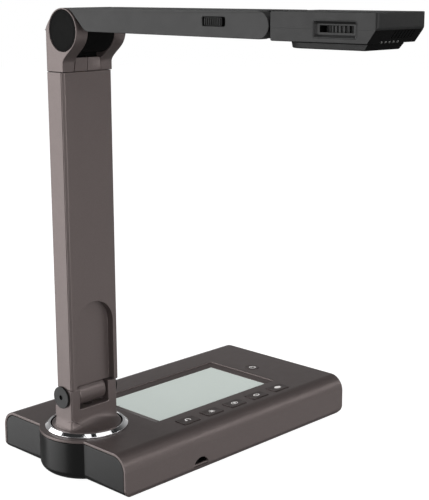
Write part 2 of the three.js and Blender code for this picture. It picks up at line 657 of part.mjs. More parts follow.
const coverHalf = ARM.halfX - 1.4 - GAP / 2;
piece(arm, "arm_knuckle", "deepBlack", makeArmKnuckle());
piece(arm, "arm_body", "black", makeArmBody());
piece(arm, "arm_top_cover", "black", box(
  [-coverHalf, coverHalf], [ARM.wristY + 18.2, -15.3], [ARM.top - 1.7, ARM.top],
));
piece(arm, "switch_body", "deepBlack", box(
  [-ARM.halfX + ARM.wall + GAP, -15], [SWITCH.y[0] - 2, SWITCH.y[1] + 2], [4.6, 13],
));
const wristPinHalf = ARM.halfX - 1.8;
piece(arm, "wrist_pin", "steel", rodX(2, [-wristPinHalf, wristPinHalf], [ARM.wristY, ARM.wristZ], 20));

// Lamp switch: a ribbed slider in a slot of the arm's left side.
function makeSlider() {
  const z = [SWITCH.z[0] + GAP, SWITCH.z[1] - GAP];
  const [from, to] = SWITCH.slider;
  const block = box([-ARM.halfX, -ARM.halfX + ARM.wall], [from, to], z);
  const ribs = Array.from({ length: 7 }, (_, i) => {
    const y = from + 2 + i * 1.95;
    return box([-ARM.halfX - 0.5, -ARM.halfX + 0.5], [y, y + 1], z);
  });
  return join(block, ...ribs);
}
piece(arm, "lamp_slider", "black", makeSlider());

// ---------------------------------------------------------------- head

function headOutline() {
  const { rear, front, top, bottom, slopeZ, slopeFootY } = HEAD;
  return polygon([
    [rear, bottom], [rear, top], [front, top], [front, slopeZ], [slopeFootY, bottom],
  ].reverse());
}

const everyX = [-HEAD.halfX - PAST, HEAD.halfX + PAST];
const everyY = [HEAD.front - PAST, HEAD.rear + PAST];
const headBar = alongX(headOutline(), [-HEAD.halfX, HEAD.halfX]);
const headHollow = join(
  box([-HEAD.halfX + HEAD.wall, HEAD.halfX - HEAD.wall], [HEAD.slopeFootY + 0.6, HEAD.rear - 3], [
    HEAD.bottom + HEAD.wall, HEAD.top - HEAD.wall,
  ]),
  box([-HEAD.halfX + HEAD.wall, HEAD.halfX - HEAD.wall], [HEAD.front + 2, HEAD.rear - 3], [
    0.5, HEAD.top - HEAD.wall,
  ]),
);
const windowHole = alongX(roundedRect(WINDOW.y, WINDOW.z, 1.6), [-HEAD.halfX - PAST, -HEAD.halfX + 4]);
const neckWay = box([-15.6, 15.6], [HEAD.rear - 5, HEAD.rear + PAST], [-6.8, 6.8]);
const lensWay = rodZ(LENS.radius + 0.8, [-20, 0], [0, HEAD.lensY], 36);

piece(head, "head_upper_shell", "black", cut(
  headBar.intersect(box(everyX, everyY, [HEAD.parting + GAP / 2, HEAD.top + PAST])),
  headHollow, windowHole, neckWay,
));
piece(head, "head_lower_shell", "black", cut(
  headBar.intersect(box(everyX, everyY, [HEAD.bottom - PAST, HEAD.parting - GAP / 2])),
  headHollow, windowHole, neckWay, lensWay,
));

function makeHeadKnuckle() {
  const half = ARM.halfX - ARM.cheek - GAP;
  const barrel = rodX(8, [-half, half], [0, 0], 32);
  const neck = box([-15.3, 15.3], [HEAD.rear - 4.6, 0], [-6.5, 6.5]);
  return cut(join(barrel, neck), rodX(2 + GAP, [-30, 30], [0, 0], 20));
}
piece(head, "head_knuckle", "deepBlack", makeHeadKnuckle());

// Dished surround of the focus wheel's slot.
function makeWindowBezel() {
  const outside = -HEAD.halfX;
  const grown = ([a, b], by) => [a - by, b + by];
  const block = alongX(
    roundedRect(grown(WINDOW.y, -GAP / 2), grown(WINDOW.z, -GAP / 2), 1.4), [outside, outside + 2],
  );
  const dish = alongX(
    roundedRect(grown(WINDOW.y, -1.4), grown(WINDOW.z, -1.4), 0.8), [outside - PAST, outside + 1],
  );
  return cut(block, dish, box([outside - PAST, outside + 3], WINDOW.slotY, WINDOW.slotZ));
}
piece(head, "focus_window_bezel", "black", makeWindowBezel());

// Raised plate round the lens, with a round end.
function makeLensPlate() {
  const { half, roundY, frontY, bottom } = PLATE;
  const top = HEAD.bottom - GAP;
  const slope = (HEAD.slopeFootY - HEAD.front) / (HEAD.slopeZ - HEAD.bottom);
  const plan = new THREE.Shape();
  plan.moveTo(-half, HEAD.front);
  plan.lineTo(half, HEAD.front);
  plan.lineTo(half, roundY);
  plan.absarc(0, roundY, half, 0, Math.PI);
  const side = polygon([
    [frontY, bottom], [0, bottom], [0, top], [frontY - slope * (top - bottom), top],
  ]);
  return cut(
    alongZ(plan, [bottom, top]).intersect(alongX(side, [-half - PAST, half + PAST])),
    lensWay,
  );
}
piece(head, "lens_plate", "deepBlack", makeLensPlate());
piece(head, "sensor_board", "board", box([-16, 16], [HEAD.lensY - 15, HEAD.lensY + 15], [4.6, 6.2]));

function makeLedBoard() {
  const lamps = Array.from({ length: LEDS.count }, (_, i) => {
    const x = LEDS.x + (i - (LEDS.count - 1) / 2) * LEDS.pitch;
    return rodZ(LEDS.radius, [HEAD.bottom + 2.4, HEAD.bottom + 4], [x, HEAD.slopeFootY + 4], 10);
  });
  const boardDepth = [HEAD.slopeFootY + 1, HEAD.slopeFootY + 7];
  return join(box([-19, 19], boardDepth, [HEAD.bottom + 3.6, HEAD.bottom + 4.6]), ...lamps);
}
piece(head, "led_board", "led", makeLedBoard());

function makeFocusRing() {
  const points = [];
  for (let i = 0; i < FOCUS.teeth; i += 1) {
    for (const [share, depth] of [[0, 0], [0.5, 0], [0.62, FOCUS.toothDepth], [0.88, FOCUS.toothDepth]]) {
      const angle = (2 * Math.PI * (i + share)) / FOCUS.teeth;
      const r = FOCUS.radius - depth;
      points.push([r * Math.cos(angle), r * Math.sin(angle)]);
    }
  }
  const wheel = alongZ(polygon(points), FOCUS.z);
  return cut(wheel, rodZ(LENS.radius - 1, [-10, 10], [0, 0], 36)).translate([0, HEAD.lensY, 0]);
}
piece(head, "focus_ring", "black", makeFocusRing());
piece(head, "lens_barrel", "deepBlack", join(
  tube(LENS.glassRadius + GAP, LENS.radius, [PLATE.bottom + 0.4, FOCUS.z[0] - GAP], 28),
  tube(4, LENS.radius - 1, [FOCUS.z[0] - 1.8, FOCUS.z[0] - GAP], 28),
).translate([0, HEAD.lensY, 0]));
piece(head, "lens_glass", "lensGlass", rodZ(
  LENS.glassRadius, [PLATE.bottom + 1.6, PLATE.bottom + 4], [0, HEAD.lensY], 32,
));

export default camera;
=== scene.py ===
"""A desktop document camera: detailed pieces, materials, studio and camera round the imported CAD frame.

Shapes are worked out in millimetres in the row frame and scaled to metres when a mesh is made.
"""

from contextlib import contextmanager
from functools import reduce
from math import atan2, cos, degrees, hypot, pi, radians, sin, sqrt

import bmesh
import bpy
from mathutils import Matrix, Vector


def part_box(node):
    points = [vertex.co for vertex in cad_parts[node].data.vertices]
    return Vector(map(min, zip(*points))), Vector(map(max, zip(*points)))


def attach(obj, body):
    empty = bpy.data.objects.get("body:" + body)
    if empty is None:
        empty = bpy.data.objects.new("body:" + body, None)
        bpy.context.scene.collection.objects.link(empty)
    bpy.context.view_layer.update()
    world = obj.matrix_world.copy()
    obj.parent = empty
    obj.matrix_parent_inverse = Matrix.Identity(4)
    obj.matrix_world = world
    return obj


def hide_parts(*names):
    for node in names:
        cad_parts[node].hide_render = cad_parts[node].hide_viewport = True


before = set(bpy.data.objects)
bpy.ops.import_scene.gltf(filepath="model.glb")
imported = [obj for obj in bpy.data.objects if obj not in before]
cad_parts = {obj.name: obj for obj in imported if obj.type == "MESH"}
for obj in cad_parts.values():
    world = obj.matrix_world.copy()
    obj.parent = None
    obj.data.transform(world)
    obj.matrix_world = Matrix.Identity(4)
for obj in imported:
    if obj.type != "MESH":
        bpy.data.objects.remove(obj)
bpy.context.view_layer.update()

MM = 0.001
GAP = 0.3  # between pieces that touch or run in each other
WALL = 2.2  # moulded shells of the base


def span(node):
    """A CAD node's extent as ((x0, x1), (y0, y1), (z0, z1)) in millimetres."""
    low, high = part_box(node)
    return tuple((round(a / MM, 3), round(b / MM, 3)) for a, b in zip(low, high))


def middle(*spans):
    return tuple(sum(pair) / 2 for pair in spans)


def grown(pair, by):
    return (pair[0] - by, pair[1] + by)


def around(at, half):
    return (at - half, at + half)


# ---- outlines


def ellipse_arc(centre, radii, start, end, steps=12):
    """Points of an elliptic arc from start to end degrees, both ends included."""
    angles = [radians(start + (end - start) * i / steps) for i in range(steps + 1)]
    return [(centre[0] + radii[0] * cos(a), centre[1] + radii[1] * sin(a)) for a in angles]


def arc(centre, radius, start, end, steps=12):
    return ellipse_arc(centre, (radius, radius), start, end, steps)


def oval(centre, radii, sides=32):
    return ellipse_arc(centre, radii, 0, 360 * (1 - 1 / sides), sides - 1)


def circle(centre, radius, sides=48):
    return oval(centre, (radius, radius), sides)


def bezier(a, b, c, d, steps=12):
    """Points of a cubic curve, without its first end."""
    points = []
    for i in range(1, steps + 1):
        t = i / steps
        k = ((1 - t) ** 3, 3 * t * (1 - t) ** 2, 3 * t * t * (1 - t), t**3)
        points.append(tuple(sum(w * p[j] for w, p in zip(k, (a, b, c, d))) for j in (0, 1)))
    return points


def rectangle(u, v):
    return [(u[0], v[0]), (u[1], v[0]), (u[1], v[1]), (u[0], v[1])]


def rounded(u, v, low, high=None, steps=10):
    """A rectangle with one corner radius at the low end of v and another at the high end."""
    high = low if high is None else high
    return (
        arc((u[0] + low, v[0] + low), low, 180, 270, steps)
        + arc((u[1] - low, v[0] + low), low, 270, 360, steps)
        + arc((u[1] - high, v[1] - high), high, 0, 90, steps)
        + arc((u[0] + high, v[1] - high), high, 90, 180, steps)
    )


# ---- meshes

AXES = {
    "x": lambda u, v, t: (t, u, v),
    "y": lambda u, v, t: (u, t, v),
    "z": lambda u, v, t: (u, v, t),
}


@contextmanager
def editing(mesh):
    """Opens a mesh for editing and writes the result back."""
    b = bmesh.new()
    b.from_mesh(mesh)
    yield b
    b.to_mesh(mesh)
    b.free()


def add_object(name, data):
    made = bpy.data.objects.new(name, data)
    bpy.context.scene.collection.objects.link(made)
    return made


def solid(points, faces):
    mesh = bpy.data.meshes.new("tool")
    mesh.from_pydata([[c * MM for c in p] for p in points], [], faces)
    with editing(mesh) as b:
        bmesh.ops.remove_doubles(b, verts=b.verts, dist=1e-7)
        bmesh.ops.recalc_face_normals(b, faces=b.faces)
    return add_object("tool", mesh)


def loft(rings):
    """A closed solid skinned over rings of points that all have the same count."""
    count = len(rings[0])
    points = [p for ring in rings for p in ring]
    faces = [list(range(count)), list(range(len(points) - count, len(points)))]
    for row in range(len(rings) - 1):
        a = row * count
        for i in range(count):
            j = (i + 1) % count
            faces.append([a + i, a + j, a + count + j, a + count + i])
    return solid(points, faces)


def prism(axis, outline, ends):
    """An outline run along an axis. It is given in the two directions across it, in X, Y, Z order."""
    return loft([[AXES[axis](u, v, t) for u, v in outline] for t in ends])


def block(x, y, z):
    return prism("z", rectangle(x, y), z)


def rod(axis, radius, ends, centre=(0, 0), sides=48):
    return prism(axis, circle(centre, radius, sides), ends)


def turned(axis, profile, centre=(0, 0), sides=96):
    """A profile of (radius, height) points turned about an axis, closed on itself or on the axis."""
    count = len(profile)
    points, faces = [], []
    for i in range(sides):
        a = 2 * pi * i / sides
        points += [AXES[axis](centre[0] + r * cos(a), centre[1] + r * sin(a), h) for r, h in profile]
        this, following = i * count, (i + 1) % sides * count
        for k in range(count):
            n = (k + 1) % count
            faces.append([this + k, this + n, following + n, following + k])
    made = solid(points, faces)
    with editing(made.data) as b:
        bmesh.ops.dissolve_degenerate(b, dist=1e-7, edges=b.edges)
        bmesh.ops.recalc_face_normals(b, faces=b.faces)
    return made


def apply_all(obj):
    """Applies the object's modifiers to its mesh."""
    graph = bpy.context.evaluated_depsgraph_get()
    mesh = bpy.data.meshes.new_from_object(obj.evaluated_get(graph))
    old = obj.data
    obj.modifiers.clear()
    obj.data = mesh
    bpy.data.meshes.remove(old)
    return obj


def combine(obj, operation, tools):
    for tool in tools:
        modifier = obj.modifiers.new(operation.lower(), "BOOLEAN")
        modifier.operation = operation
        modifier.solver = "EXACT"
        modifier.object = tool
    apply_all(obj)
    for tool in tools:
        bpy.data.objects.remove(tool)
    return obj


def cut(obj, *tools):
    return combine(obj, "DIFFERENCE", tools)


def join(obj, *tools):
    return combine(obj, "UNION", tools)


def keep(obj, *tools):
    return combine(obj, "INTERSECT", tools)


def moved(obj, by):
    obj.data.transform(Matrix.Translation(Vector(by) * MM))
    return obj


def round_edges(obj, width, segments=3, angle=32, merge=True):
    """Merges what the cuts left in one plane, then rounds the edges by width millimetres."""
    if merge:
        with editing(obj.data) as b:
            bmesh.ops.dissolve_limit(b, angle_limit=radians(0.2), verts=b.verts, edges=b.edges)
    bevel = obj.modifiers.new("bevel", "BEVEL")
    bevel.width = width * MM
    bevel.segments = segments
    bevel.limit_method = "ANGLE"
    bevel.angle_limit = radians(angle)
    bevel.use_clamp_overlap = False
    bevel.miter_outer = "MITER_ARC"
    return apply_all(obj)


def repeat_near_half(obj):
    """Makes the far half of the piece a mirror image of its near half."""
    with editing(obj.data) as b:
        parts = b.verts[:] + b.edges[:] + b.faces[:]
        bmesh.ops.symmetrize(b, input=parts, direction="-Y", dist=1e-6)
    return obj


def soften(obj, width=0, segments=3, angle=32, merge=True):
    """Rounds the edges by width millimetres, if it is given, and shades the rest smooth."""
    if width:
        round_edges(obj, width, segments, angle, merge)
    with editing(obj.data) as b:
        bmesh.ops.triangulate(b, faces=[face for face in b.faces if len(face.verts) > 4])
        for face in b.faces:
            face.smooth = True
        for edge in b.edges:
            edge.smooth = len(edge.link_faces) == 2 and edge.calc_face_angle() < radians(angle + 6)
    weighted = obj.modifiers.new("normals", "WEIGHTED_NORMAL")
    weighted.keep_sharp = True
    weighted.weight = 80
    return apply_all(obj)


def add_material(obj, material):
    """Adds a material after the main one, which place puts first, and returns its index."""
    if not obj.data.materials:
        obj.data.materials.append(None)
    obj.data.materials.append(material)
    return len(obj.data.materials) - 1


def paint(obj, material, test):
    """Gives another material to the faces that pass a test of their centre and normal."""
    index = add_material(obj, material)
    for polygon in obj.data.polygons:
        if test(polygon.center / MM, polygon.normal):
            polygon.material_index = index
    return obj


def add_part(obj, part, material):
    """Joins another solid into the piece, with its own material."""
    index = add_material(obj, material)
    for polygon in part.data.polygons:
        polygon.material_index = index
    with editing(obj.data) as b:
        b.from_mesh(part.data)
    bpy.data.objects.remove(part)
    return obj


def place(obj, name, body, slot, material, *nodes):
    """Names the finished piece, gives it its material and says what it rides on and what it replaces. The
    finish slot is not used.
    """
    obj.name = name
    obj.data.name = name
    if not obj.data.materials:
        obj.data.materials.append(None)
    obj.data.materials[0] = material
    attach(obj, body)
    if nodes:
        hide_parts(*nodes)
    return obj


def place_pair(left, name, body, slot, material, node):
    """Places a left piece and its mirror image. The side's name goes into the piece's and the node's."""
    right = add_object("right", left.data.copy())
    right.data.transform(Matrix.Scale(-1, 4, (1, 0, 0)))
    right.data.flip_normals()
    for obj, side in ((left, "left"), (right, "right")):
        place(obj, name.format(side), body, slot, material, node.format(side))


# ---- materials


def scaled(color, by):
    return tuple(c * by for c in color)


class Shader:
    """A Principled material and short ways to add the nodes that drive it."""

    def __init__(self, name, color, roughness, metallic=0.0, **sockets):
        self.material = bpy.data.materials.new(name)
        self.material.use_nodes = True
        self.nodes = self.material.node_tree.nodes
        self.links = self.material.node_tree.links
        self.inputs = self.nodes["Principled BSDF"].inputs
        self.place = self.nodes.new("ShaderNodeTexCoord").outputs["Object"]
        self.base = color
        self.inputs["Base Color"].default_value = (*color, 1)
        self.inputs["Roughness"].default_value = roughness
        self.inputs["Metallic"].default_value = metallic
        for socket, value in sockets.items():
            self.inputs[socket.replace("_", " ")].default_value = value

    def node(self, kind, source=None, into="Vector", **values):
        """A new node with values on its inputs and, if given, a source linked into one of them."""
        node = self.nodes.new("ShaderNode" + kind)
        for socket, value in values.items():
            node.inputs[socket.replace("_", " ")].default_value = value
        if source is not None:
            self.links.new(source, node.inputs[into])
        return node

    def noise(self, scale, detail=3.0, stretch=(1, 1, 1)):
        place = self.node("Mapping", self.place, Scale=stretch).outputs["Vector"]
        return self.node("TexNoise", place, Scale=scale, Detail=detail).outputs["Fac"]

    def cells(self, scale, output="Color"):
        return self.node("TexVoronoi", self.place, Scale=scale).outputs[output]

    def ramp(self, factor, low, high, start=0.3, end=0.7):
        """Runs from colour low to colour high as factor goes from start to end."""
        node = self.node("ValToRGB", factor, "Fac")
        for element, position, color in zip(node.color_ramp.elements, (start, end), (low, high)):
            element.position = position
            element.color = (*color, 1)
        return node.outputs["Color"]

    def span(self, factor, low, high, start=0.3, end=0.7):
        """Runs from number low to number high as factor goes from start to end."""
        values = {"From_Min": start, "From_Max": end, "To_Min": low, "To_Max": high}
        return self.node("MapRange", factor, "Value", **values).outputs["Result"]

    def mix(self, factor, a, b):
        node = self.node("Mix")
        node.data_type = "RGBA"
        for socket, value in zip((node.inputs["Factor"], node.inputs[6], node.inputs[7]), (factor, a, b)):
            if isinstance(value, bpy.types.NodeSocket):
                self.links.new(value, socket)
            else:
                socket.default_value = value
        return node.outputs[2]

    def color(self, output):
        self.links.new(output, self.inputs["Base Color"])

    def tone(self, factor, dark, light, start=0.3, end=0.7):
        """Runs the base colour from dark to light times its own value, as factor goes from start to end."""
        self.color(self.ramp(factor, scaled(self.base, dark), scaled(self.base, light), start, end))

    def rough(self, factor, low, high, start=0.3, end=0.7):
        self.links.new(self.span(factor, low, high, start, end), self.inputs["Roughness"])

    def bump(self, height, distance):
        """Raises the surface by height times distance millimetres."""
        node = self.node("Bump", height, "Height", Distance=distance * MM)
        self.links.new(node.outputs["Normal"], self.inputs["Normal"])


def metallic_paint(name, color, roughness):
    """Fine metal flake in paint, with slight orange peel."""
    s = Shader(name, color, roughness, 0.55)
    flakes = s.ramp(s.cells(3200), scaled(color, 0.86), scaled(color, 1.16), 0.2, 0.8)
    patches = s.ramp(s.noise(38, 4), scaled(color, 0.98), scaled(color, 1.02), 0.35, 0.65)
    s.color(s.mix(0.5, flakes, patches))
    s.rough(s.noise(160, 4), roughness - 0.02, roughness + 0.02)
    s.bump(s.noise(900, 2), 0.012)
    return s.material


def moulded_plastic(name, grey, specular, roughness=0.5):
    """Spark-eroded moulding texture with faint handling marks."""
    s = Shader(name, (grey, grey, grey), roughness, Specular_IOR_Level=specular)
    s.tone(s.noise(45, 5), 0.95, 1.05, 0.35, 0.65)
    s.rough(s.noise(120, 5), roughness - 0.03, roughness + 0.03)
    s.bump(s.cells(2600, "Distance"), 0.03)
    return s.material


def gloss_plastic(name, grey):
    """Smooth satin plastic with very fine hairlines along it."""
    s = Shader(name, (grey, grey, grey), 0.3, Specular_IOR_Level=0.25)
    s.tone(s.noise(30), 0.94, 1.06, 0.35, 0.65)
    s.rough(s.noise(1500, 4, (1, 0.08, 1)), 0.28, 0.33, 0.35, 0.8)
    return s.material


def polished_metal(name, color):
    """Plated metal with the faint unevenness of its polish."""
    s = Shader(name, color, 0.07, 1.0)
    s.tone(s.noise(50, 4), 0.96, 1)
    s.rough(s.noise(220, 6), 0.05, 0.12, 0.35, 0.75)
    return s.material


def machined_steel(name, grey, stretch, roughness):
    """Tool marks that run across the stretched direction."""
    s = Shader(name, (grey, grey, grey + 0.01), roughness, 1.0)
    lines = s.noise(900, 5, stretch)
    s.tone(lines, 0.82, 1.12)
    s.rough(lines, roughness - 0.1, roughness + 0.12)
    s.bump(lines, 0.01)
    return s.material


def rubber(name, grey):
    """Matt rubber with a fine grain and worn patches."""
    s = Shader(name, (grey, grey, grey), 0.85)
    s.tone(s.noise(220, 6), 0.75, 1.5, 0.3, 0.75)
    s.rough(s.noise(300), 0.78, 0.95)
    s.bump(s.cells(1500, "Distance"), 0.08)
    return s.material


def circuit_board(name):
    """Green solder mask with lighter tracks beneath it."""
    s = Shader(name, (0.02, 0.12, 0.05), 0.4)
    tracks = s.node(
        "TexBrick", s.place, Scale=260, Mortar_Size=0.03,
        Color1=(0.015, 0.1, 0.04, 1), Color2=(0.018, 0.12, 0.05, 1), Mortar=(0.06, 0.26, 0.1, 1),
    )
    s.color(tracks.outputs["Color"])
    s.rough(s.noise(400), 0.3, 0.5)
    s.bump(tracks.outputs["Fac"], -0.03)
    return s.material


def display_window(name):
    """A reflective grey-green display behind a clear window, with its pixel grid just showing and a painted
    glow that brightens it.
    """
    s = Shader(
        name, (0.6, 0.66, 0.62), 0.16, Coat_Weight=0.5, Coat_Roughness=0.04,
        # Painted glow: the emission brightens the display, which gives no light of its own.
        Emission_Color=(0.56, 0.62, 0.585, 1), Emission_Strength=0.29,
    )
    drift = s.ramp(s.noise(9, 2), (0.57, 0.635, 0.6), (0.63, 0.7, 0.66))
    grid = s.node("TexBrick", s.place, Scale=2200, Mortar_Size=0.04, Brick_Width=1, Row_Height=1)
    grid.offset = 0
    s.color(s.mix(s.span(grid.outputs["Fac"], 0, 0.08, 0, 1), drift, (0.45, 0.5, 0.47, 1)))
    s.rough(s.noise(180, 4), 0.12, 0.22, 0.35, 0.7)
    return s.material


def coated_glass(name):
    """Dark lens with a violet-blue coating; its tint is a painted sheen that grows at a slant."""
    s = Shader(name, (0.004, 0.005, 0.01), 0.04, Coat_Weight=1.0, Coat_Roughness=0.02)
    # Painted sheen: the base colour turns violet-blue as the surface is seen more at a slant, standing in
    # for the coating's reflection.
    facing = s.node("LayerWeight", Blend=0.35).outputs["Facing"]
    s.color(s.ramp(facing, (0.003, 0.004, 0.01), (0.06, 0.03, 0.2), 0.1, 0.8))
    s.rough(s.noise(300), 0.02, 0.07)
    return s.material


def ribbon_cable(name):
    """Flat flexible cable: copper tracks side by side under amber film."""
    s = Shader(name, (0.6, 0.45, 0.2), 0.35)
    wave = s.node("TexWave", s.place, Scale=160).outputs["Fac"]
    s.color(s.ramp(wave, (0.32, 0.2, 0.07), (0.66, 0.46, 0.2), 0.35, 0.55))
    s.bump(wave, 0.05)
    return s.material


def lamp_lens(name):
    """Clear diffusing dome over a lamp, pale where the light source shows through."""
    s = Shader(name, (0.12, 0.12, 0.115), 0.3, Transmission_Weight=0.15)
    s.color(s.ramp(s.noise(900), (0.09, 0.09, 0.085), (0.15, 0.15, 0.145)))
    s.rough(s.noise(500), 0.15, 0.3)
    return s.material


def printed_ink(name, color):
    """Pale printed symbols, slightly uneven, brightened by a painted glow."""
    # Painted glow: the emission lights the printed symbols, which are no lamps.
    s = Shader(name, color, 0.55, Emission_Color=(*color, 1), Emission_Strength=0.22)
    s.tone(s.noise(1400), 0.88, 1, 0.3, 0.6)
    s.bump(s.noise(2500, 2), 0.01)
    return s.material


TAUPE = (0.135, 0.110, 0.106)
PAINT = metallic_paint("taupe_paint", TAUPE, 0.4)
KEY_PAINT = metallic_paint("key_paint", scaled(TAUPE, 0.72), 0.45)
GLOSS_BLACK = gloss_plastic("gloss_black", 0.008)
BLACK = moulded_plastic("black_plastic", 0.022, 0.3)
HEAD_BLACK = moulded_plastic("head_plastic", 0.007, 0.34)
PLATE_BLACK = moulded_plastic("plate_plastic", 0.006, 0.32)
SOFT_BLACK = moulded_plastic("slide_plastic", 0.009, 0.2)
DEEP_BLACK = moulded_plastic("deep_black_plastic", 0.004, 0.05, 0.6)
GREY = moulded_plastic("grey_plastic", 0.034, 0.25)
CHROME = polished_metal("chrome_plate", (0.82, 0.82, 0.83))
STEEL = machined_steel("turned_steel", 0.42, (1, 0.05, 0.05), 0.34)
ROLLED_STEEL = machined_steel("rolled_steel", 0.35, (0.04, 1, 1), 0.45)
RUBBER = rubber("rubber_foot", 0.016)
BOARD = circuit_board("circuit_board")
DISPLAY = display_window("display_window")
LENS = coated_glass("coated_lens")
RIBBON = ribbon_cable("ribbon_cable")
LAMP = lamp_lens("lamp_dome")
INK = printed_ink("symbol_ink", (0.86, 0.84, 0.82))

# ---- base

(base_left, base_right), (_, half_width), (base_bottom, base_top) = span("base_shell")
nose_radius = -base_left
BODY_LEFT = -25.2  # flat part of the left end, beside the round nose
TOP_RADIUS = 12.8
BOTTOM_RADIUS = 5.5
UNDERCUT = (11, 7.5)  # how the ends curve in towards the desk
inside_top = base_top - WALL
glass_x, glass_y, glass_z = span("display_glass")
glass_top = glass_z[1] + 0.1
LIP = 3  # display glass that runs on under the shell
window_x, window_y = grown(glass_x, -LIP), grown(glass_y, -LIP)
SURROUND_X = (38.9, 176.5)  # outer edge of the sloped surround
SURROUND_Y = (-36.3, 37.9)
SCOOP_RADIUS = 7.9  # finger opening at the card slot
SCOOP_Z = 4.8
SCOOP_FLOOR = 6.2
PORT_MARGIN = 0.8
SPINDLE_RADIUS = 13.5
POWER_RADIUS = 5.7
card_centre = sum(span("card_reader")[0]) / 2
KEYS = range(1, 6)
SCREWS = range(1, 5)
FAR = 80  # past everything in the base


def section(inset):
    """The base's cross-section, inside its surface by inset."""
    return rounded(
        grown((-half_width, half_width), -inset), (base_bottom + inset, base_top - inset),
        max(BOTTOM_RADIUS - inset, 1), TOP_RADIUS - inset, 16,
    )


def undercut():
    """The space between the ends, which curve in at the bottom."""
    a, b = UNDERCUT
    outline = [(BODY_LEFT, base_top + 1)]
    outline += ellipse_arc((BODY_LEFT + a, base_bottom + b), UNDERCUT, 180, 270)
    outline += ellipse_arc((base_right - a, base_bottom + b), UNDERCUT, 270, 360)
    outline += [(base_right, base_top + 1)]
    return prism("y", outline, (-half_width - 1, half_width + 1))


def nose(inset, top):
    """The round end under the turret."""
    a, b = UNDERCUT
    radius = nose_radius - inset
    low = base_bottom + inset
    profile = [(0, low)] + ellipse_arc((radius - a, low + b), UNDERCUT, -90, 0, 10)
    return turned("z", profile + [(radius, top), (0, top)], sides=128)


def key_outline(x, y, by, radius):
    """The key's cap, grown by some millimetres: x and y are those of the wider flange under it."""
    flange = 1.1
    return rounded(grown(x, by - flange), grown(y, by - flange), radius, steps=6)


def window_surround():
    """The hole for the display, with a slope that runs down to the glass all round it."""
    return loft([
        [(u, v, z) for u, v in rectangle(xs, ys)] for xs, ys, z in (
            (window_x, window_y, inside_top - 1), (window_x, window_y, glass_top),
            (SURROUND_X, SURROUND_Y, base_top - 0.55), (SURROUND_X, SURROUND_Y, base_top + 1),
        )
    ])


def finger_scoop():
    """The opening in the near wall in front of the card slot: a circle with a flat floor."""
    wall = (-half_width - 1, -half_width + WALL + 1)
    opening = rod("y", SCOOP_RADIUS, wall, (card_centre, SCOOP_Z), 64)
    return keep(opening, block(around(card_centre, FAR), wall, (SCOOP_FLOOR, 40)))


def base_shell():
    """Hollow shell with openings for the display, keys, turret, card slot and rear ports."""
    through = (inside_top - 1, base_top + 1)
    cover_y = grown(span("bottom_cover")[1], GAP)
    shell = keep(prism("x", section(0), (BODY_LEFT, base_right)), undercut())
    cut(
        shell,
        prism("x", section(WALL), (BODY_LEFT - 1, base_right + 1)),
        block((BODY_LEFT - 20, base_right + 1), cover_y, (0, base_bottom + WALL + 1)),
    )
    join(shell, keep(nose(0, base_top), block((-40, 0), (-40, 40), (inside_top, base_top))))
    port_x, _, port_z = span("port_block")
    keys = [span(f"key_{i}") for i in KEYS]
    cut(
        shell, window_surround(), finger_scoop(),
        *[prism("z", key_outline(x, y, GAP + 0.15, 1.2), through) for x, y, _ in keys],
        rod("z", POWER_RADIUS + GAP, through, middle(*span("power_button")[:2]), 64),
        rod("z", SPINDLE_RADIUS + 1, through, sides=64),
        prism(
            "y", rounded(grown(port_x, PORT_MARGIN), grown(port_z, PORT_MARGIN), 1.5),
            (half_width - WALL - 1, half_width + 1),
        ),
    )
    return soften(shell, 0.5)


def end_cap_left():
    inner = span("end_cap_left")[0][1]
    cap = prism("x", section(WALL + GAP), (BODY_LEFT + GAP, inner))
    join(cap, keep(nose(0.2, inside_top - GAP), block((-40, inner), (-40, 40), (0, base_top))))
    keep(cap, join(undercut(), nose(0, base_top)))
    return soften(repeat_near_half(round_edges(cap, 0.45)))


def end_cap_right():
    """Shallow dome: its outer face is an ellipse seen from above."""
    far_end = span("end_cap_right")[0][1]
    dome = far_end - base_right
    cap = keep(prism("x", section(WALL + GAP), (base_right - 9, far_end)), moved(undercut(), (dome, 0, 0)))
    half, steps = 72, 24
    belly = [(base_right - 12, -FAR), (base_right - 12, FAR)]
    for i in range(steps + 1):
        y = half * (1 - 2 * i / steps)
        belly.append((base_right - GAP + (dome + GAP) * (1 - (y / half) ** 2) ** 0.5, y))
    keep(cap, prism("z", belly, (0, 40)))
    return soften(cap, 0.45)


def bottom_cover():
    """Flat cover with recessed screws and a row of vents."""
    x, y, z = span("bottom_cover")
    cover = keep(block(x, y, z), undercut())
    first, pitch, width, half = 60, 7, 2.6, 18
    starts = [first + pitch * i for i in range(14)]
    cut(
        cover,
        *[rod("z", 3.1, (0, z[0] + 1.2), middle(*span(f"cover_screw_{i}")[:2])) for i in SCREWS],
        *[prism("z", rounded((u, u + width), (-half, half), width / 2), (0, z[0] + 0.9)) for u in starts],
    )
    return soften(cover, 0.3, 2)


def cross_screw(index):
    """Pan-head screw with a cross recess, seen from below."""
    x, y, (low, high) = span(f"cover_screw_{index}")
    at = middle(x, y)
    head = turned("z", [(0, low), (1.7, low), (2.4, low + 0.35), (2.6, low + 0.9), (0, low + 0.9)], at, 32)
    join(head, rod("z", 1.3, (low + 0.5, high), at, 24))
    cut(head, *[
        block(around(at[0], a), around(at[1], b), (low - 1, low + 0.5))
        for a, b in ((1.3, 0.3), (0.3, 1.3))
    ])
    return soften(head, 0.08, 2)


def foot(node):
    """Rubber pad with a rounded edge and shallow rings on its sole."""
    x, y, (low, high) = span(node)
    radius = (x[1] - x[0]) / 2
    profile = [
        (0, high), (radius - 0.2, high), (radius, high - 0.3), (radius, low + 0.4), (radius - 0.4, low),
    ]
    for share in (0.72, 0.38):
        r = radius * share
        profile += [(r + 0.4, low), (r + 0.2, low + 0.3), (r - 0.2, low + 0.3), (r - 0.4, low)]
    return soften(turned("z", profile + [(0, low)], middle(x, y), 48), 0.08, 2)


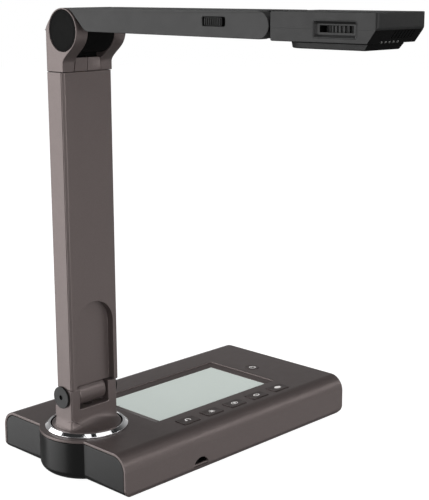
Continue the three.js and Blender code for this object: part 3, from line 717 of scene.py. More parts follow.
def display_glass():
    glass = join(
        block(glass_x, glass_y, (glass_z[0], inside_top - GAP)),
        block(grown(window_x, -GAP), grown(window_y, -GAP), (glass_z[0] + 0.8, glass_z[1])),
    )
    return soften(glass, 0.15, 2)


def card_reader():
    """Black socket whose slot shows in the finger scoop, with a lip and contacts inside."""
    x, y, z = span("card_reader")
    front = y[0]
    low, high = 8.4, 10.6  # the slot
    reader = block(x, y, z)
    cut(
        reader,
        block(around(card_centre, 6.2), (front - 1, front + 13), (low, high)),
        block(around(card_centre, 7), (front - 1, front + 0.4), (low - 0.5, high + 0.5)),
    )
    soften(reader, 0.12, 2)
    lip = block(
        around(card_centre, 8.1), (-half_width + 0.5, front + 0.2), (SCOOP_FLOOR + 0.1, low - 0.4),
    )
    add_part(reader, soften(lip, 0.5), PAINT)
    for i in range(8):
        contact_x = around(card_centre - 4.2 + 1.2 * i, 0.35)
        add_part(reader, block(contact_x, (front + 2, front + 12), (low - 0.1, low + 0.15)), CHROME)
    return reader


def port_block():
    """Sockets for power, video and data, with metal shells, tongues and contacts."""
    x, y, z = span("port_block")
    back = y[1]
    power_at = (x[0] + 9.2, sum(z) / 2)
    holes = (
        # the hole's width and height, how far its tongue stays inside the width, and the tongue's height
        ((x[0] + 19.2, x[0] + 34.2), (13.6, 19.2), 2, (15.6, 16.9)),
        ((x[0] + 42.2, x[0] + 51.2), (13, 21), 1.6, (16.1, 18)),
    )
    made = block(x, y, z)
    depth = (back - 11, back + 1)
    cut(made, rod("y", 3.6, depth, power_at, 40), *[block(u, depth, v) for u, v, _, _ in holes])
    soften(made, 0.2, 2)
    pin = rod("y", 0.9, (back - 12, back - 2), power_at, 20)
    sleeve = rod("y", 3.55, (back - 10, back - 0.2), power_at, 40)
    cut(sleeve, rod("y", 3.1, (back - 11, back), power_at, 40))
    shells = [
        cut(
            block(grown(u, -0.05), (back - 10.5, back - 0.1), grown(v, -0.05)),
            block(grown(u, -0.45), (back - 11, back), grown(v, -0.45)),
        )
        for u, v, _, _ in holes
    ]
    for part in (pin, sleeve, *shells):
        add_part(made, part, CHROME)
    for u, _, inset, tongue_z in holes:
        add_part(made, block(grown(u, -inset), (back - 11.5, back - 1.5), tongue_z), GREY)
    return made


def chrome_ring():
    """Trim ring with a sloped outside, and a black liner inside it."""
    (_, outer), _, (low, high) = span("chrome_ring")
    inner, bore, run = 27.8, 27.15, 2.4
    slant = degrees(atan2(run, high - low - 0.6))
    profile = [(inner, low), (outer, low)]
    profile += arc((outer - 0.3, low + 0.5), 0.3, 0, slant, 4)
    profile += arc((outer - 0.3 - run, high - 0.5), 0.5, slant, 90, 5)
    profile += arc((inner + 0.4, high - 0.4), 0.4, 90, 180, 5)
    ring = soften(turned("z", profile, sides=160))
    liner = turned("z", [
        (bore, low), (inner + 0.1, low), (inner + 0.1, high - 1), (inner - 0.1, high - 1),
        (inner - 0.1, low + 0.2), (bore, low + 0.2),
    ])
    return add_part(ring, liner, DEEP_BLACK)


# ---- keys

MARK = 0.08  # thickness of a printed symbol
KEY_FLANGE_Z = (30.6, 31.8)


def mark(outline, z):
    return prism("z", outline, (z, z + MARK))


def ring_mark(centre, radii, width, z):
    hole = prism("z", oval(centre, [radius - width for radius in radii]), (z - 1, z + 1))
    return cut(mark(oval(centre, radii), z), hole)


def arch_mark(centre, radius, width, z):
    """More than half of a ring with an arrowhead: the usual sign for going back."""
    band = arc(centre, radius, -40, 180, 20) + arc(centre, radius - width, 180, -40, 20)
    left = centre[0] - radius
    head = [(left - 1, centre[1]), (left + width + 1, centre[1]), (left + width / 2, centre[1] - 1.7)]
    return join(mark(band, z), mark(head, z))


def sun_mark(centre, radius, z):
    """A dot with eight rays: the usual sign for brightness."""
    rays = []
    for i in range(8):
        c, s = cos(radians(45 * i)), sin(radians(45 * i))
        rays.append(mark([
            (centre[0] + radius * (u * c - v * s), centre[1] + radius * (u * s + v * c))
            for u, v in rectangle((0.68, 1), (-0.12, 0.12))
        ], z))
    return join(mark(circle(centre, radius * 0.5, 24), z), *rays)


def key_mark(index, centre, z):
    if index == 1:
        return arch_mark(centre, 2.6, 0.9, z)
    if index == 2:
        return sun_mark(centre, 2.7, z)
    if index == 3:
        return join(ring_mark(centre, (3.2, 2.4), 0.6, z), mark(oval(centre, (1.2, 1.2)), z))
    if index == 4:
        return ring_mark(centre, (3.1, 2.2), 0.9, z)
    return mark(oval(centre, (3.2, 2.3)), z)


def key(index):
    """Rocker-topped key: its top dips slightly along the middle."""
    x, y, (_, top) = span(f"key_{index}")
    centre = middle(x, y)
    bend, dip = 60, 0.12
    cap = prism("z", key_outline(x, y, 0, 1), (31.5, top))
    cut(cap, rod("x", bend, grown(x, 1), (centre[1], top + bend - dip), 360))
    join(cap, block(x, y, KEY_FLANGE_Z))
    return add_part(soften(cap, 0.22), key_mark(index, centre, top - 0.13), INK)


def power_button():
    """Round button with a dished top and the usual power sign."""
    x, y, (_, top) = span("power_button")
    centre = middle(x, y)
    radius, flange = POWER_RADIUS, POWER_RADIUS + 1.3
    profile = [(0, 31), (flange, 31), (flange, 31.8), (radius, 31.8), (radius, top - 0.4)]
    profile += arc((radius - 0.4, top - 0.4), 0.4, 0, 90, 4) + [(radius - 1.2, top - 0.05), (0, top - 0.35)]
    button = soften(turned("z", profile, centre, 64))
    level = top - 0.33
    band = arc(centre, 3.1, 120, 420, 28) + arc(centre, 2.2, 420, 120, 28)
    stroke = block(
        around(centre[0], 0.45), (centre[1] + 0.6, centre[1] + 3.6), (level, level + MARK + 0.12),
    )
    return add_part(button, join(prism("z", band, (level, level + MARK + 0.1)), stroke), INK)


# ---- turret

LOWER_Z = sum(span("lower_hinge_pin")[2]) / 2
DISC_RADIUS = 26.8
DISC_TOP = 37.9
FLARE_TOP = 46.5
BRACKET_X = 22.5
BRACKET_Y = 10.2
EAR_TOP = 6.9
WINDOW_HALF = 13.9  # between the bracket's ears


def flare():
    """The bracket's foot, which sweeps out from a rectangle into the round disc."""
    sides, levels, corner = 120, 14, 1.4
    rim = DISC_RADIUS - 0.8
    angles = [2 * pi * i / sides for i in range(sides)]

    def wall(angle):
        """How far the rectangle's edge is from the middle."""
        c, s = abs(cos(angle)), abs(sin(angle))
        corner_at = hypot(BRACKET_X, BRACKET_Y) - corner / 2
        return min(BRACKET_X / max(c, 1e-6), BRACKET_Y / max(s, 1e-6), corner_at)

    def ring(radii, z):
        return [(radius * cos(a), radius * sin(a), z) for a, radius in zip(angles, radii)]

    rings = [ring([DISC_RADIUS] * sides, z) for z in (base_top + GAP, DISC_TOP - 0.5)]
    rings.append(ring([rim] * sides, DISC_TOP))
    for i in range(1, levels + 1):
        t = pi / 2 * i / levels
        spread = 1 - sin(t)
        radii = [wall(a) + (rim - wall(a)) * spread for a in angles]
        rings.append(ring(radii, DISC_TOP + (FLARE_TOP - DISC_TOP) * (1 - cos(t))))
    return loft(rings)


def turret_bracket():
    """Casting with two ears for the lower hinge, a round foot and a hollow spindle under it."""
    low, shoulder = FLARE_TOP - 1 - LOWER_Z, -7.8
    ear = [(-BRACKET_Y, low), (BRACKET_Y, low), (BRACKET_Y, -9.6)]
    ear += bezier(ear[-1], (BRACKET_Y, -8.4), (9.1, shoulder), (EAR_TOP, shoulder), 8)
    ear += arc((0, 0), EAR_TOP, 0, 90, 12) + arc((-BRACKET_Y + 1.2, EAR_TOP - 1.2), 1.2, 90, 180, 6)
    bracket = moved(prism("x", ear, (-BRACKET_X, BRACKET_X)), (0, 0, LOWER_Z))
    keep(bracket, prism("z", rounded((-BRACKET_X, BRACKET_X), (-BRACKET_Y, BRACKET_Y), 1.5), (0, 100)))
    join(bracket, flare(), rod("z", SPINDLE_RADIUS, (13, base_top + 1), sides=64))
    window = block((-WINDOW_HALF, WINDOW_HALF), (-20, 20), (LOWER_Z - 9.5, LOWER_Z + 20))
    cut(bracket, window, rod("x", 3.1, (-30, 30), (0, LOWER_Z)), rod("z", 5, (0, 60)))
    return soften(bracket, 0.8, 4, 38)


def hinge_cap():
    """Left button, with a black rim and a black hole in the middle."""
    (out, back), (_, radius), _ = span("hinge_cap_left")
    profile = [(0, back), (6.8, back), (6.8, back - 0.5), (radius, back - 0.55), (radius, out + 0.5)]
    profile += arc((radius - 0.5, out + 0.5), 0.5, 0, -90, 5)
    profile += [(2.3, out), (1.8, out + 0.3), (1.8, out + 1.2), (0, out + 1.2)]
    cap = soften(turned("x", profile, (0, LOWER_Z), 80))
    return paint(
        cap, DEEP_BLACK, lambda at, normal: abs(normal.x) < 0.4 or hypot(at.y, at.z - LOWER_Z) < 1.75,
    )


# ---- mast

mast_x, (mast_near, _), (mast_low, mast_high) = span("mast_front_cover")
mast_far = span("mast_body")[1][1]
CHAMFER = 1.6
COVER_BACK = -10.3
ARCH_HALF = 18
ARCH_TOP = LOWER_Z + 72.4
ARCH_DEPTH = 6.2


def mast_outline():
    """Rectangle with chamfered corners, seen from above."""
    a, b = mast_x
    near, far, c = mast_near, mast_far, CHAMFER
    return [
        (a + c, near), (b - c, near), (b, near + c), (b, far - c),
        (b - c, far), (a + c, far), (a, far - c), (a, near + c),
    ]


def knuckle(radius, half, at, bore, sides, *tongues):
    """Hinge barrel along X with a hole for its pin and tongues that run into the next piece."""
    barrel = rod("x", radius, (-half, half), at, sides)
    for y, z in tongues:
        join(barrel, block((-half, half), y, z))
    return cut(barrel, rod("x", bore, (-30, 30), at))


def mast_knuckle():
    (_, half), (_, radius), _ = span("mast_knuckle")
    neck, tongue = ((-4.1, 5.6), (LOWER_Z + 3, mast_low + 0.5)), ((-4, 4), (mast_low - 1, LOWER_Z + 58))
    return soften(knuckle(radius, half, (0, LOWER_Z), 3.3, 96, neck, tongue), 1.1, 5)


def mast_body():
    """Hollow shell, open to the front cover."""
    foot_z = (0, mast_low + 4)
    body = prism("z", mast_outline(), (mast_low, mast_high))
    cut(
        body,
        block(grown(mast_x, 1), (mast_near - 1, COVER_BACK + GAP), (0, mast_high + 1)),
        block(grown(mast_x, -WALL), (mast_near, mast_far - WALL), (mast_low + 3, mast_high + 1)),
        block((-WINDOW_HALF, WINDOW_HALF), (mast_near, mast_far - 0.9), foot_z),
        block(around(0, ARCH_HALF + 2), (mast_near, mast_near + ARCH_DEPTH + 1.7), foot_z),
    )
    return soften(body, 0.35)


def arch(grow, bottom):
    half = ARCH_HALF + grow
    return [(-half, bottom), (half, bottom)] + arc((0, ARCH_TOP - ARCH_HALF), half, 0, 180, 40)


def mast_cover():
    """Front cover with the arch recess, whose walls stand back into the mast."""
    wall = 1.4
    barrel = span("mast_knuckle")[1][1]
    cover = keep(
        prism("z", mast_outline(), (mast_low, mast_high)),
        block(mast_x, (mast_near, COVER_BACK), (0, 400)),
    )
    join(cover, prism("y", arch(wall, mast_low), (COVER_BACK - 0.5, mast_near + ARCH_DEPTH + wall)))
    cut(
        cover, prism("y", arch(0, mast_low - 1), (mast_near - 1, mast_near + ARCH_DEPTH)),
        rod("x", barrel + GAP, (-WINDOW_HALF, WINDOW_HALF), (0, LOWER_Z), 96),
    )
    return soften(cover, 0.4)


# ---- yoke

ELBOW_Y, ELBOW_Z = middle(*span("upper_shaft")[1:])
ELBOW_RADIUS = 15.7
KNUCKLE_HALF = span("arm_knuckle")[0][1] + GAP
POCKET_FLOOR = -19.1  # of the space for the arm's barrel, from the elbow's axis


def yoke_outline():
    """Side view of the yoke: round at the top and concave below, where it meets the mast."""
    near, far = mast_near - ELBOW_Y, mast_far - ELBOW_Y
    foot_z = mast_high + GAP - ELBOW_Z
    outline = [(near, foot_z), (far, foot_z), (far, -3.8)]
    top = arc((0, 0), ELBOW_RADIUS, 30, 228.6, 48)
    outline += bezier((far, -3.8), (far, 0.6), (16.8, 4.5), top[0], 8)[:-1]
    return outline + top + bezier(top[-1], (-6.6, -15.4), (near, -19.4), (near, -23), 14)


def yoke_half():
    """Left half, with a flat panel at the front; the pocket for the arm's barrel is painted deep black as
    painted shade.
    """
    left = mast_x[0]
    near, far = mast_near - ELBOW_Y, mast_far - ELBOW_Y
    pocket_x = (-KNUCKLE_HALF, 1)
    ear = prism("x", yoke_outline(), (left, -GAP / 2))
    panel = prism("y", [(-12.7, -29.5), (1, -29.5), (1, -17), (-10.6, -17)], (-20, near + 0.01))
    corner = [(left - 1, far - CHAMFER - 1), (left + CHAMFER + 1, far + 1), (left - 1, far + 1)]
    cut(
        ear, rod("x", ELBOW_RADIUS + 0.7, pocket_x, sides=96),
        block(pocket_x, (-25, 5), (POCKET_FLOOR, 25)), block(pocket_x, (-25, 30), (2, 25)),
        rod("x", 14.6, (left - 1, left + 1.3), sides=96), rod("x", 4.1, (-40, 0)),
        panel, prism("z", corner, (-40, 0)),
    )
    tongue_z = (mast_high - 14 - ELBOW_Z, mast_high + 1 - ELBOW_Z)
    join(ear, block((-19, -8), (3.6, 17), tongue_z))

    # Painted shade: the pocket's floor and back under the arm's barrel are painted deep black, standing in
    # for the shade that the barrel casts there.
    def pocket_painted_shade(at, normal):
        return abs(at.x) < KNUCKLE_HALF - 0.1 and POCKET_FLOOR - 0.05 < at.z < 1 and normal.y < 0.3

    return moved(paint(soften(ear, 0.45), DEEP_BLACK, pocket_painted_shade), (0, ELBOW_Y, ELBOW_Z))


def yoke_disc():
    """Inset end disc, slightly dished, with a fine groove near its edge."""
    (out, back), y, _ = span("yoke_disc_left")
    radius = (y[1] - y[0]) / 2
    groove = [(radius - by, out + depth) for by, depth in ((1.4, 0), (1.5, 0.12), (1.7, 0.12), (1.8, 0))]
    profile = [(0, back), (radius, back), (radius, out + 0.25), (radius - 0.25, out)]
    return soften(turned("x", profile + groove + [(0, out + 0.1)], (ELBOW_Y, ELBOW_Z), 112))


# ---- arm

arm_x, _, (arm_low, arm_high) = span("arm_body")
WRIST_Y, WRIST_Z = middle(*span("wrist_pin")[1:])
WRIST_RADIUS = 8.3
CHEEK = 6.4  # each side of the wrist's fork
SWITCH_Y = grown(span("switch_body")[1], -2)
SWITCH_Z = grown(span("lamp_slider")[2], GAP)


def arm_outline():
    """Side view: hollowed round the elbow, cut back below to fold against the yoke, round at the wrist."""
    clearance, lip, knee_z = 16.3, -7, 10.4
    wrist = (WRIST_Y - ELBOW_Y, WRIST_Z - ELBOW_Z)
    outline = [(lip, arm_high - ELBOW_Z)] + arc(wrist, WRIST_RADIUS, 90, 270, 32)
    outline += [(-27, -0.1)] + bezier((-27, -0.1), (-24.6, 0), (-22.8, 0.7), (-21.2, 2.4), 8)
    start = degrees(atan2(knee_z, -sqrt(clearance**2 - knee_z**2)))
    end = degrees(atan2(sqrt(clearance**2 - lip**2), lip))
    return outline + arc((0, 0), clearance, start, end, 14)


def arm_shell():
    """Hollow arm with a fork at the wrist, and openings for its lid, barrel and lamp switch."""
    above = arm_high + 1
    arm = moved(prism("x", arm_outline(), arm_x), (0, ELBOW_Y, ELBOW_Z))
    cut(
        arm,
        block(grown(arm_x, -2), (WRIST_Y + 22, ELBOW_Y - 24), (arm_low + 2.5, above)),
        block(grown(arm_x, -1.4), (WRIST_Y + 18, ELBOW_Y - 15), (arm_high - 1.9, above)),
        block((-12.3, 12.3), (ELBOW_Y - 30, ELBOW_Y), (ELBOW_Z + 1.9, ELBOW_Z + 13.6)),
        block(grown(arm_x, -CHEEK), (WRIST_Y - 20, WRIST_Y + 9.6), (arm_low - 5, above)),
        prism("x", rounded(SWITCH_Y, SWITCH_Z, 1.1), (arm_x[0] - 1, arm_x[0] + 3)),
    )
    return soften(arm, 0.45)


def arm_knuckle():
    barrel = knuckle(
        ELBOW_RADIUS, span("arm_knuckle")[0][1], (0, 0), 4.3, 96, ((-52, -6), (2.2, 13.2)),
    )
    return soften(moved(barrel, (0, ELBOW_Y, ELBOW_Z)), 0.5)


def arm_cover():
    x, y, z = span("arm_top_cover")
    return soften(prism("x", rectangle(y, z), x), 0.3)


def lamp_slider():
    """Thumb slide with nine grip ribs."""
    _, y, z = span("lamp_slider")
    outside = arm_x[0]
    slider = prism("x", rounded(y, z, 1), (outside + 0.6, outside + 2))
    starts = [y[0] + 0.8 + 1.6 * i for i in range(9)]
    ribs = [rounded((start, start + 0.8), grown(z, -0.35), 0.3, steps=3) for start in starts]
    join(slider, *[prism("x", rib, (outside, outside + 1)) for rib in ribs])
    return soften(slider, 0.15, 2)


# ---- head

head_x, (head_front, head_rear), (_, head_top) = span("head_upper_shell")
head_bottom = span("head_lower_shell")[2][0]
PARTING = WRIST_Z - 1.2
SLOPE_Z = WRIST_Z + 0.1
SLOPE_FOOT = WRIST_Y - 80.6
LENS_Y = sum(span("lens_barrel")[1]) / 2
LENS_RADIUS = 9
GLASS_RADIUS = 6.8
WINDOW_Y, WINDOW_Z = (grown(pair, GAP / 2) for pair in span("focus_window_bezel")[1:])
SLOT_Y = (WRIST_Y - 70.2, WRIST_Y - 46.1)
SLOT_Z = (WRIST_Z - 3, WRIST_Z + 0.9)
HIGH = (300, 400)  # from below the head to above it
ALL_ROUND = ((-40, 40), (-400, 0))


def head_solid():
    """Rounded at its rear corners seen from the side, and slanted under the front."""
    outline = [(head_front, head_top), (head_front, SLOPE_Z), (SLOPE_FOOT, head_bottom)]
    outline += arc((head_rear - 1.2, head_bottom + 1.2), 1.2, 270, 360, 6)
    outline += arc((head_rear - 1.2, head_top - 1.2), 1.2, 0, 90, 6)
    plan = rounded(head_x, (head_front, head_rear + 1), 1.8, 0.1)
    return round_edges(keep(prism("x", outline, head_x), prism("z", plan, HIGH)), 0.45)


def head_tools():
    """What is cut out of both shells: the hollow, the focus window and the hole for the knuckle."""
    wall = 1.8
    inner_x = grown(head_x, -wall)
    return [
        block(inner_x, (SLOPE_FOOT + 0.6, head_rear - 3), (head_bottom + wall, head_top - wall)),
        block(inner_x, (head_front + 2, head_rear - 3), (WRIST_Z + 0.5, head_top - wall)),
        prism("x", rounded(WINDOW_Y, WINDOW_Z, 1.6), (head_x[0] - 1, head_x[0] + 4)),
        block(around(0, 15.6), (head_rear - 5, head_rear + 1), around(WRIST_Z, 6.8)),
    ]


def slope_point(share):
    """A point on the slanted face under the front, from its top edge down."""
    return (
        head_front + (SLOPE_FOOT - head_front) * share, SLOPE_Z + (head_bottom - SLOPE_Z) * share,
    )


def vents():
    """Slots that run down the slanted face, on the side away from the switch."""
    along = Vector((0, SLOPE_FOOT - head_front, head_bottom - SLOPE_Z)).normalized()
    outline = []
    for share, height in ((0.2, 1), (0.72, 1), (0.72, -0.7), (0.2, -0.7)):
        y, z = slope_point(share)
        outline.append((y + along.z * height, z - along.y * height))
    return [prism("x", outline, (x, x + 1.1)) for x in range(-4, 15, 3)]


def head_upper():
    return soften(cut(head_solid(), *head_tools(), block(*ALL_ROUND, (HIGH[0], PARTING + 0.03))))


def head_lower():
    """Lower shell with the lens opening and the vents; its slanted face, which looks down, is painted deep
    black as painted shade.
    """
    lower = cut(
        head_solid(), *head_tools(), block(*ALL_ROUND, (PARTING - 0.03, HIGH[1])),
        rod("z", LENS_RADIUS + 0.8, (HIGH[0], WRIST_Z), (0, LENS_Y), 64), *vents(),
    )
    # Painted shade: faces under the front that look down are painted deep black, for the shade that falls
    # on them.
    return paint(
        soften(lower), DEEP_BLACK, lambda at, normal: at.y < SLOPE_FOOT + 0.2 and normal.z < -0.25,
    )


def head_knuckle():
    """Its tongue closes the hole in the head's rear."""
    tongue = ((head_rear - 4.6, WRIST_Y), around(WRIST_Z, 6.5))
    return soften(knuckle(8, arm_x[1] - CHEEK - GAP, (WRIST_Y, WRIST_Z), 2.3, 72, tongue), 0.4)


def window_bezel():
    """Frame that dips to the slot where the focus wheel shows, with a black liner behind the slot."""
    outside = head_x[0]
    bezel = prism("x", rounded(grown(WINDOW_Y, -0.1), grown(WINDOW_Z, -0.1), 1.5), (outside, outside + 2))
    dish = loft([
        [(x, u, v) for u, v in rounded(grown(WINDOW_Y, by), grown(WINDOW_Z, by), 0.9)]
        for x, by in ((outside - 0.3, -0.3), (outside + 1.5, -2.1))
    ])
    cut(bezel, dish, block((outside - 1, outside + 3), SLOT_Y, SLOT_Z))
    soften(bezel, 0.12, 2, merge=False)
    liner = cut(
        block((outside + 1.7, -12), grown(SLOT_Y, 1), grown(SLOT_Z, 0.9)),
        block((-30, -10), SLOT_Y, SLOT_Z),
        rod("z", span("focus_ring")[0][1] + GAP, HIGH, (0, LENS_Y), 96),
    )
    return add_part(bezel, liner, DEEP_BLACK)


def lens_plate():
    """Plate under the head: round at the rear, slanted at the front and wider at the top."""
    half, round_y, front_y = 17, WRIST_Y - 29.5, WRIST_Y - 74.5
    bottom, top = WRIST_Z - 12.9, head_bottom - GAP
    lean = (SLOPE_FOOT - head_front) / (SLOPE_Z - head_bottom)

    def plan(draft, z):
        width = half - draft
        outline = [(-width, head_front), (width, head_front)] + arc((0, round_y), width, 0, 180, 40)
        return [(x, y, z) for x, y in outline]

    side = [(front_y, bottom), (0, bottom), (0, top), (front_y - lean * (top - bottom), top)]
    plate = keep(loft([plan(0.8, bottom), plan(0, top)]), prism("x", side, (-half - 1, half + 1)))
    hole, mouth = LENS_RADIUS + 0.8, LENS_RADIUS + 3
    bore = [(mouth, bottom - 1), (mouth, bottom), (hole, bottom + 1.4), (hole, top + 1)]
    cut(plate, turned("z", [(0, bottom - 1), *bore, (0, top + 1)], (0, LENS_Y)))
    soften(plate, 0.6)
    # Painted shade: the slanted front, which looks down and forward, is painted deep black for the shade
    # that falls on it.
    return paint(plate, DEEP_BLACK, lambda at, normal: normal.y < -0.25 and normal.z < -0.25)


def focus_ring():
    """Knurled wheel: flat ribs all round its edge."""
    _, y, z = span("focus_ring")
    radius = (y[1] - y[0]) / 2
    ribs, depth = 44, 1.1
    outline = []
    for i in range(ribs):
        for share, reach in ((0, radius), (0.36, radius), (0.5, radius - depth), (0.86, radius - depth)):
            a = 2 * pi * (i + share) / ribs
            outline.append((reach * cos(a), LENS_Y + reach * sin(a)))
    wheel = cut(prism("z", outline, z), rod("z", LENS_RADIUS - 1, (0, 400), (0, LENS_Y), 64))
    return soften(wheel, 0.08, 2)


def lens_barrel():
    """Barrel with grip rings near its mouth and a flange at its top."""
    low, high = span("lens_barrel")[2]
    radius, bore = LENS_RADIUS, GLASS_RADIUS + GAP
    profile = [(bore, low + 0.3), (bore + 0.6, low), (radius - 0.4, low), (radius, low + 0.4)]
    for i in range(3):
        at = low + 1 + i * 1.1
        profile += [(radius, at), (radius - 0.3, at + 0.2), (radius - 0.3, at + 0.5), (radius, at + 0.7)]
    profile += [(radius, high), (bore, high)]
    barrel = turned("z", profile, (0, LENS_Y), 80)
    join(barrel, turned("z", rectangle((4, radius - 1), (high - 1.5, high)), (0, LENS_Y), 64))
    return soften(barrel)


def lens_glass():
    """Front lens, ground to a shallow dome."""
    low, high = span("lens_glass")[2]
    radius, rise, steps = GLASS_RADIUS, 0.9, 12
    profile = [(0, high), (radius, high)]
    for i in range(steps + 1):
        share = 1 - i / steps
        profile.append((radius * share, low + rise * share**2))
    return soften(turned("z", profile, (0, LENS_Y), 80))


def lamp_row():
    """The lamps' clear domes, which stand in a row along the foot of the slanted face."""
    slope = atan2(SLOPE_Z - head_bottom, SLOPE_FOOT - head_front)
    across, along = Vector((1, 0, 0)), Vector((0, cos(slope), -sin(slope)))
    out = Vector((0, -sin(slope), -cos(slope)))
    y, z = slope_point(0.91)
    domes = []
    for i in range(5):
        centre = Vector((-2.9 + (i - 2) * 3.75, y, z))
        domes.append(loft([
            [
                tuple(centre + out * height + across * radius * c + along * radius * s)
                for c, s in circle((0, 0), 1, 20)
            ]
            for height, radius in ((-1.2, 0.8), (0, 0.8), (0.25, 0.7), (0.4, 0.5), (0.5, 0.2))
        ]))
    return soften(reduce(join, domes))


# ---- pieces

PIECES = (
    # what makes it, its name, body, finish slot and material, and the CAD node that it replaces
    (base_shell, "base_top_shell", "base", "taupe_shell", PAINT, "base_shell"),
    (end_cap_left, "left_end_cap", "base", "gloss_black", GLOSS_BLACK, "end_cap_left"),
    (end_cap_right, "right_end_cap", "base", "gloss_black", GLOSS_BLACK, "end_cap_right"),
    (bottom_cover, "base_bottom_cover", "base", "black_shell", BLACK, "bottom_cover"),
    (display_glass, "display_pane", "base", "display_window", DISPLAY, "display_glass"),
    (card_reader, "card_socket", "base", "deep_black", DEEP_BLACK, "card_reader"),
    (port_block, "rear_ports", "base", "deep_black", DEEP_BLACK, "port_block"),
    (chrome_ring, "turret_trim_ring", "base", "chrome", CHROME, "chrome_ring"),
    (power_button, "power_cap", "power_button", "key_top", KEY_PAINT, "power_button"),
    (turret_bracket, "turret_casting", "turret", "taupe_casting", PAINT, "turret_bracket"),
    (mast_knuckle, "mast_hinge_barrel", "mast", "taupe_casting", PAINT, "mast_knuckle"),
    (mast_body, "mast_rear_shell", "mast", "taupe_shell", PAINT, "mast_body"),
    (mast_cover, "mast_cover", "mast", "taupe_shell", PAINT, "mast_front_cover"),
    (arm_shell, "arm_lower_shell", "arm", "black_shell", BLACK, "arm_body"),
    (arm_knuckle, "arm_hinge_barrel", "arm", "deep_black", DEEP_BLACK, "arm_knuckle"),
    (arm_cover, "arm_lid", "arm", "black_shell", BLACK, "arm_top_cover"),
    (lamp_slider, "lamp_thumb_slide", "lamp_slider", "black_shell", SOFT_BLACK, "lamp_slider"),
    (head_upper, "head_top_shell", "head", "black_shell", HEAD_BLACK, "head_upper_shell"),
    (head_lower, "head_bottom_shell", "head", "black_shell", HEAD_BLACK, "head_lower_shell"),
    (head_knuckle, "head_hinge_barrel", "head", "deep_black", DEEP_BLACK, "head_knuckle"),
    (window_bezel, "focus_window", "head", "black_shell", HEAD_BLACK, "focus_window_bezel"),
    (lens_plate, "lens_panel", "head", "deep_black", PLATE_BLACK, "lens_plate"),
    (lamp_row, "lamp_domes", "head", "lamp", LAMP),
    (focus_ring, "focus_wheel", "focus", "black_shell", BLACK, "focus_ring"),
    (lens_barrel, "lens_tube", "focus", "deep_black", DEEP_BLACK, "lens_barrel"),
    (lens_glass, "front_lens", "focus", "lens_glass", LENS, "lens_glass"),
)
for make, *what in PIECES:
    place(make(), *what)
for i in SCREWS:
    place(cross_screw(i), f"bottom_screw_{i}", "base", "steel", STEEL, f"cover_screw_{i}")
for node in ("foot_near_left", "foot_far_left", "foot_near_right", "foot_far_right", "foot_turret"):
    place(foot(node), f"pad_{node}", "base", "rubber", RUBBER, node)
for i in KEYS:
    place(key(i), f"key_cap_{i}", f"key_{i}", "key_top", KEY_PAINT, f"key_{i}")
place_pair(hinge_cap(), "hinge_button_{}", "turret", "grey_plastic", GREY, "hinge_cap_{}")
place_pair(yoke_half(), "yoke_{}_half", "mast", "taupe_shell", PAINT, "yoke_{}")
place_pair(yoke_disc(), "yoke_end_disc_{}", "mast", "deep_black", DEEP_BLACK, "yoke_disc_{}")

# CAD nodes that are shown as they are
KEPT = {
    "ballast_plate": ROLLED_STEEL, "main_board": BOARD, "keypad_board": BOARD, "sensor_board": BOARD,
    "display_module": GREY, "swivel_housing": GREY,
    "swivel_nut": STEEL, "lower_hinge_pin": STEEL, "upper_shaft": STEEL, "wrist_pin": STEEL,
    "mast_ribbon_cable": RIBBON, "switch_body": DEEP_BLACK, "led_board": LAMP,
}
for node, look in KEPT.items():
    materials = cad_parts[node].data.materials
    materials.clear()
    materials.append(look)

# ---- camera, studio

scene = bpy.context.scene
scene.view_settings.view_transform = "Standard"

EYE = Vector((-548.6, -672.7, 364.9)) * MM
YAW, PITCH, ROLL = radians(44.243), radians(12.594), radians(-0.21)

view = bpy.data.cameras.new("camera")
view.lens = 85.1
view.sensor_width = 36
camera = add_object("camera", view)
forward = Vector((cos(PITCH) * cos(YAW), cos(PITCH) * sin(YAW), -sin(PITCH)))
level_right = Vector((sin(YAW), -cos(YAW), 0))
level_up = level_right.cross(forward)
right = cos(ROLL) * level_right + sin(ROLL) * level_up
up = cos(ROLL) * level_up - sin(ROLL) * level_right
camera.matrix_world = Matrix.Translation(EYE) @ Matrix((right, up, -forward)).transposed().to_4x4()
scene.camera = camera


def backdrop(obj, name, strength, grey=0.0):
    """Makes a plain white surface that the camera sees and that adds nothing to the object's light."""
    glow = Shader(
        name, (grey, grey, grey), 1.0,
        Specular_IOR_Level=0, Emission_Color=(1, 1, 1, 1), Emission_Strength=strength,
    )
    obj.name = name
    obj.data.materials.append(glow.material)
    obj.visible_diffuse = False
    obj.visible_glossy = False
    obj.visible_transmission = False
    obj.visible_shadow = False


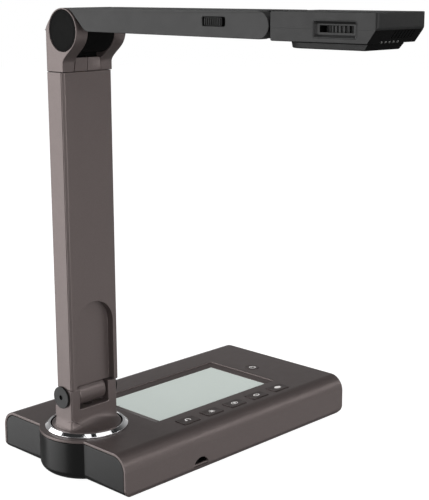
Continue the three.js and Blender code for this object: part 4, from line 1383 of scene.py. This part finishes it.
ROOM = 5000  # radius of the pale floor and of the dome over it
inner, outer = (circle((0, -30), radius, 90)[:22] for radius in (ROOM * 0.98, ROOM))
backdrop(prism("z", circle((0, 0), ROOM, 96), (-20, -0.05)), "floor", 0.96, 0.25)
backdrop(turned("z", inner + outer[::-1]), "wall", 1.0)


def area_light(name, place_at, aim, size, energy):
    light = bpy.data.lights.new(name, "AREA")
    light.shape = "RECTANGLE"
    light.size, light.size_y = size
    light.energy = energy
    made = add_object(name, light)
    made.location = place_at
    made.rotation_mode = "QUATERNION"
    made.rotation_quaternion = (Vector(aim) - Vector(place_at)).to_track_quat("-Z", "Y")
    made.visible_camera = False


area_light("left_softbox", (-2.6, 1.7, 0.2), (0, 0, 0.15), (3.8, 3.2), 108)
area_light("front_softbox", (-0.72, -2.9, 0.45), (0, 0, 0.15), (3.0, 2.2), 58)
area_light("low_softbox", (1.93, -1.86, -0.82), (0, 0, 0.05), (2.8, 1.3), 6)
area_light("back_softbox", (-0.6, 2.25, 1.9), (0, 0, 0), (1.8, 1.4), 26)
area_light("top_strip", (0.05, -0.82, 2.4), (0.2, -0.15, 0), (3.3, 1.0), 14)
area_light("side_strip", (1.8, -1.74, 1.25), (0, 0, 0.05), (2.4, 0.3), 10)


def studio_world():
    """Dim surroundings with a pale band along the horizon."""
    world = bpy.data.worlds.new("studio")
    world.use_nodes = True
    nodes, links = world.node_tree.nodes, world.node_tree.links
    split = nodes.new("ShaderNodeSeparateXYZ")
    links.new(nodes.new("ShaderNodeTexCoord").outputs["Generated"], split.inputs["Vector"])
    ramp = nodes.new("ShaderNodeValToRGB")
    elements = ramp.color_ramp.elements
    elements[0].position, elements[0].color = 0.0, (0.13, 0.13, 0.13, 1)
    elements[1].position, elements[1].color = 0.7, (0.03, 0.03, 0.03, 1)
    for position, level in ((0.005, 0.8), (0.1, 0.5), (0.35, 0.32), (0.55, 0.1)):
        elements.new(position).color = (level, level, level, 1)
    links.new(split.outputs["Z"], ramp.inputs["Fac"])
    links.new(ramp.outputs["Color"], nodes["Background"].inputs["Color"])
    return world


scene.world = studio_world()
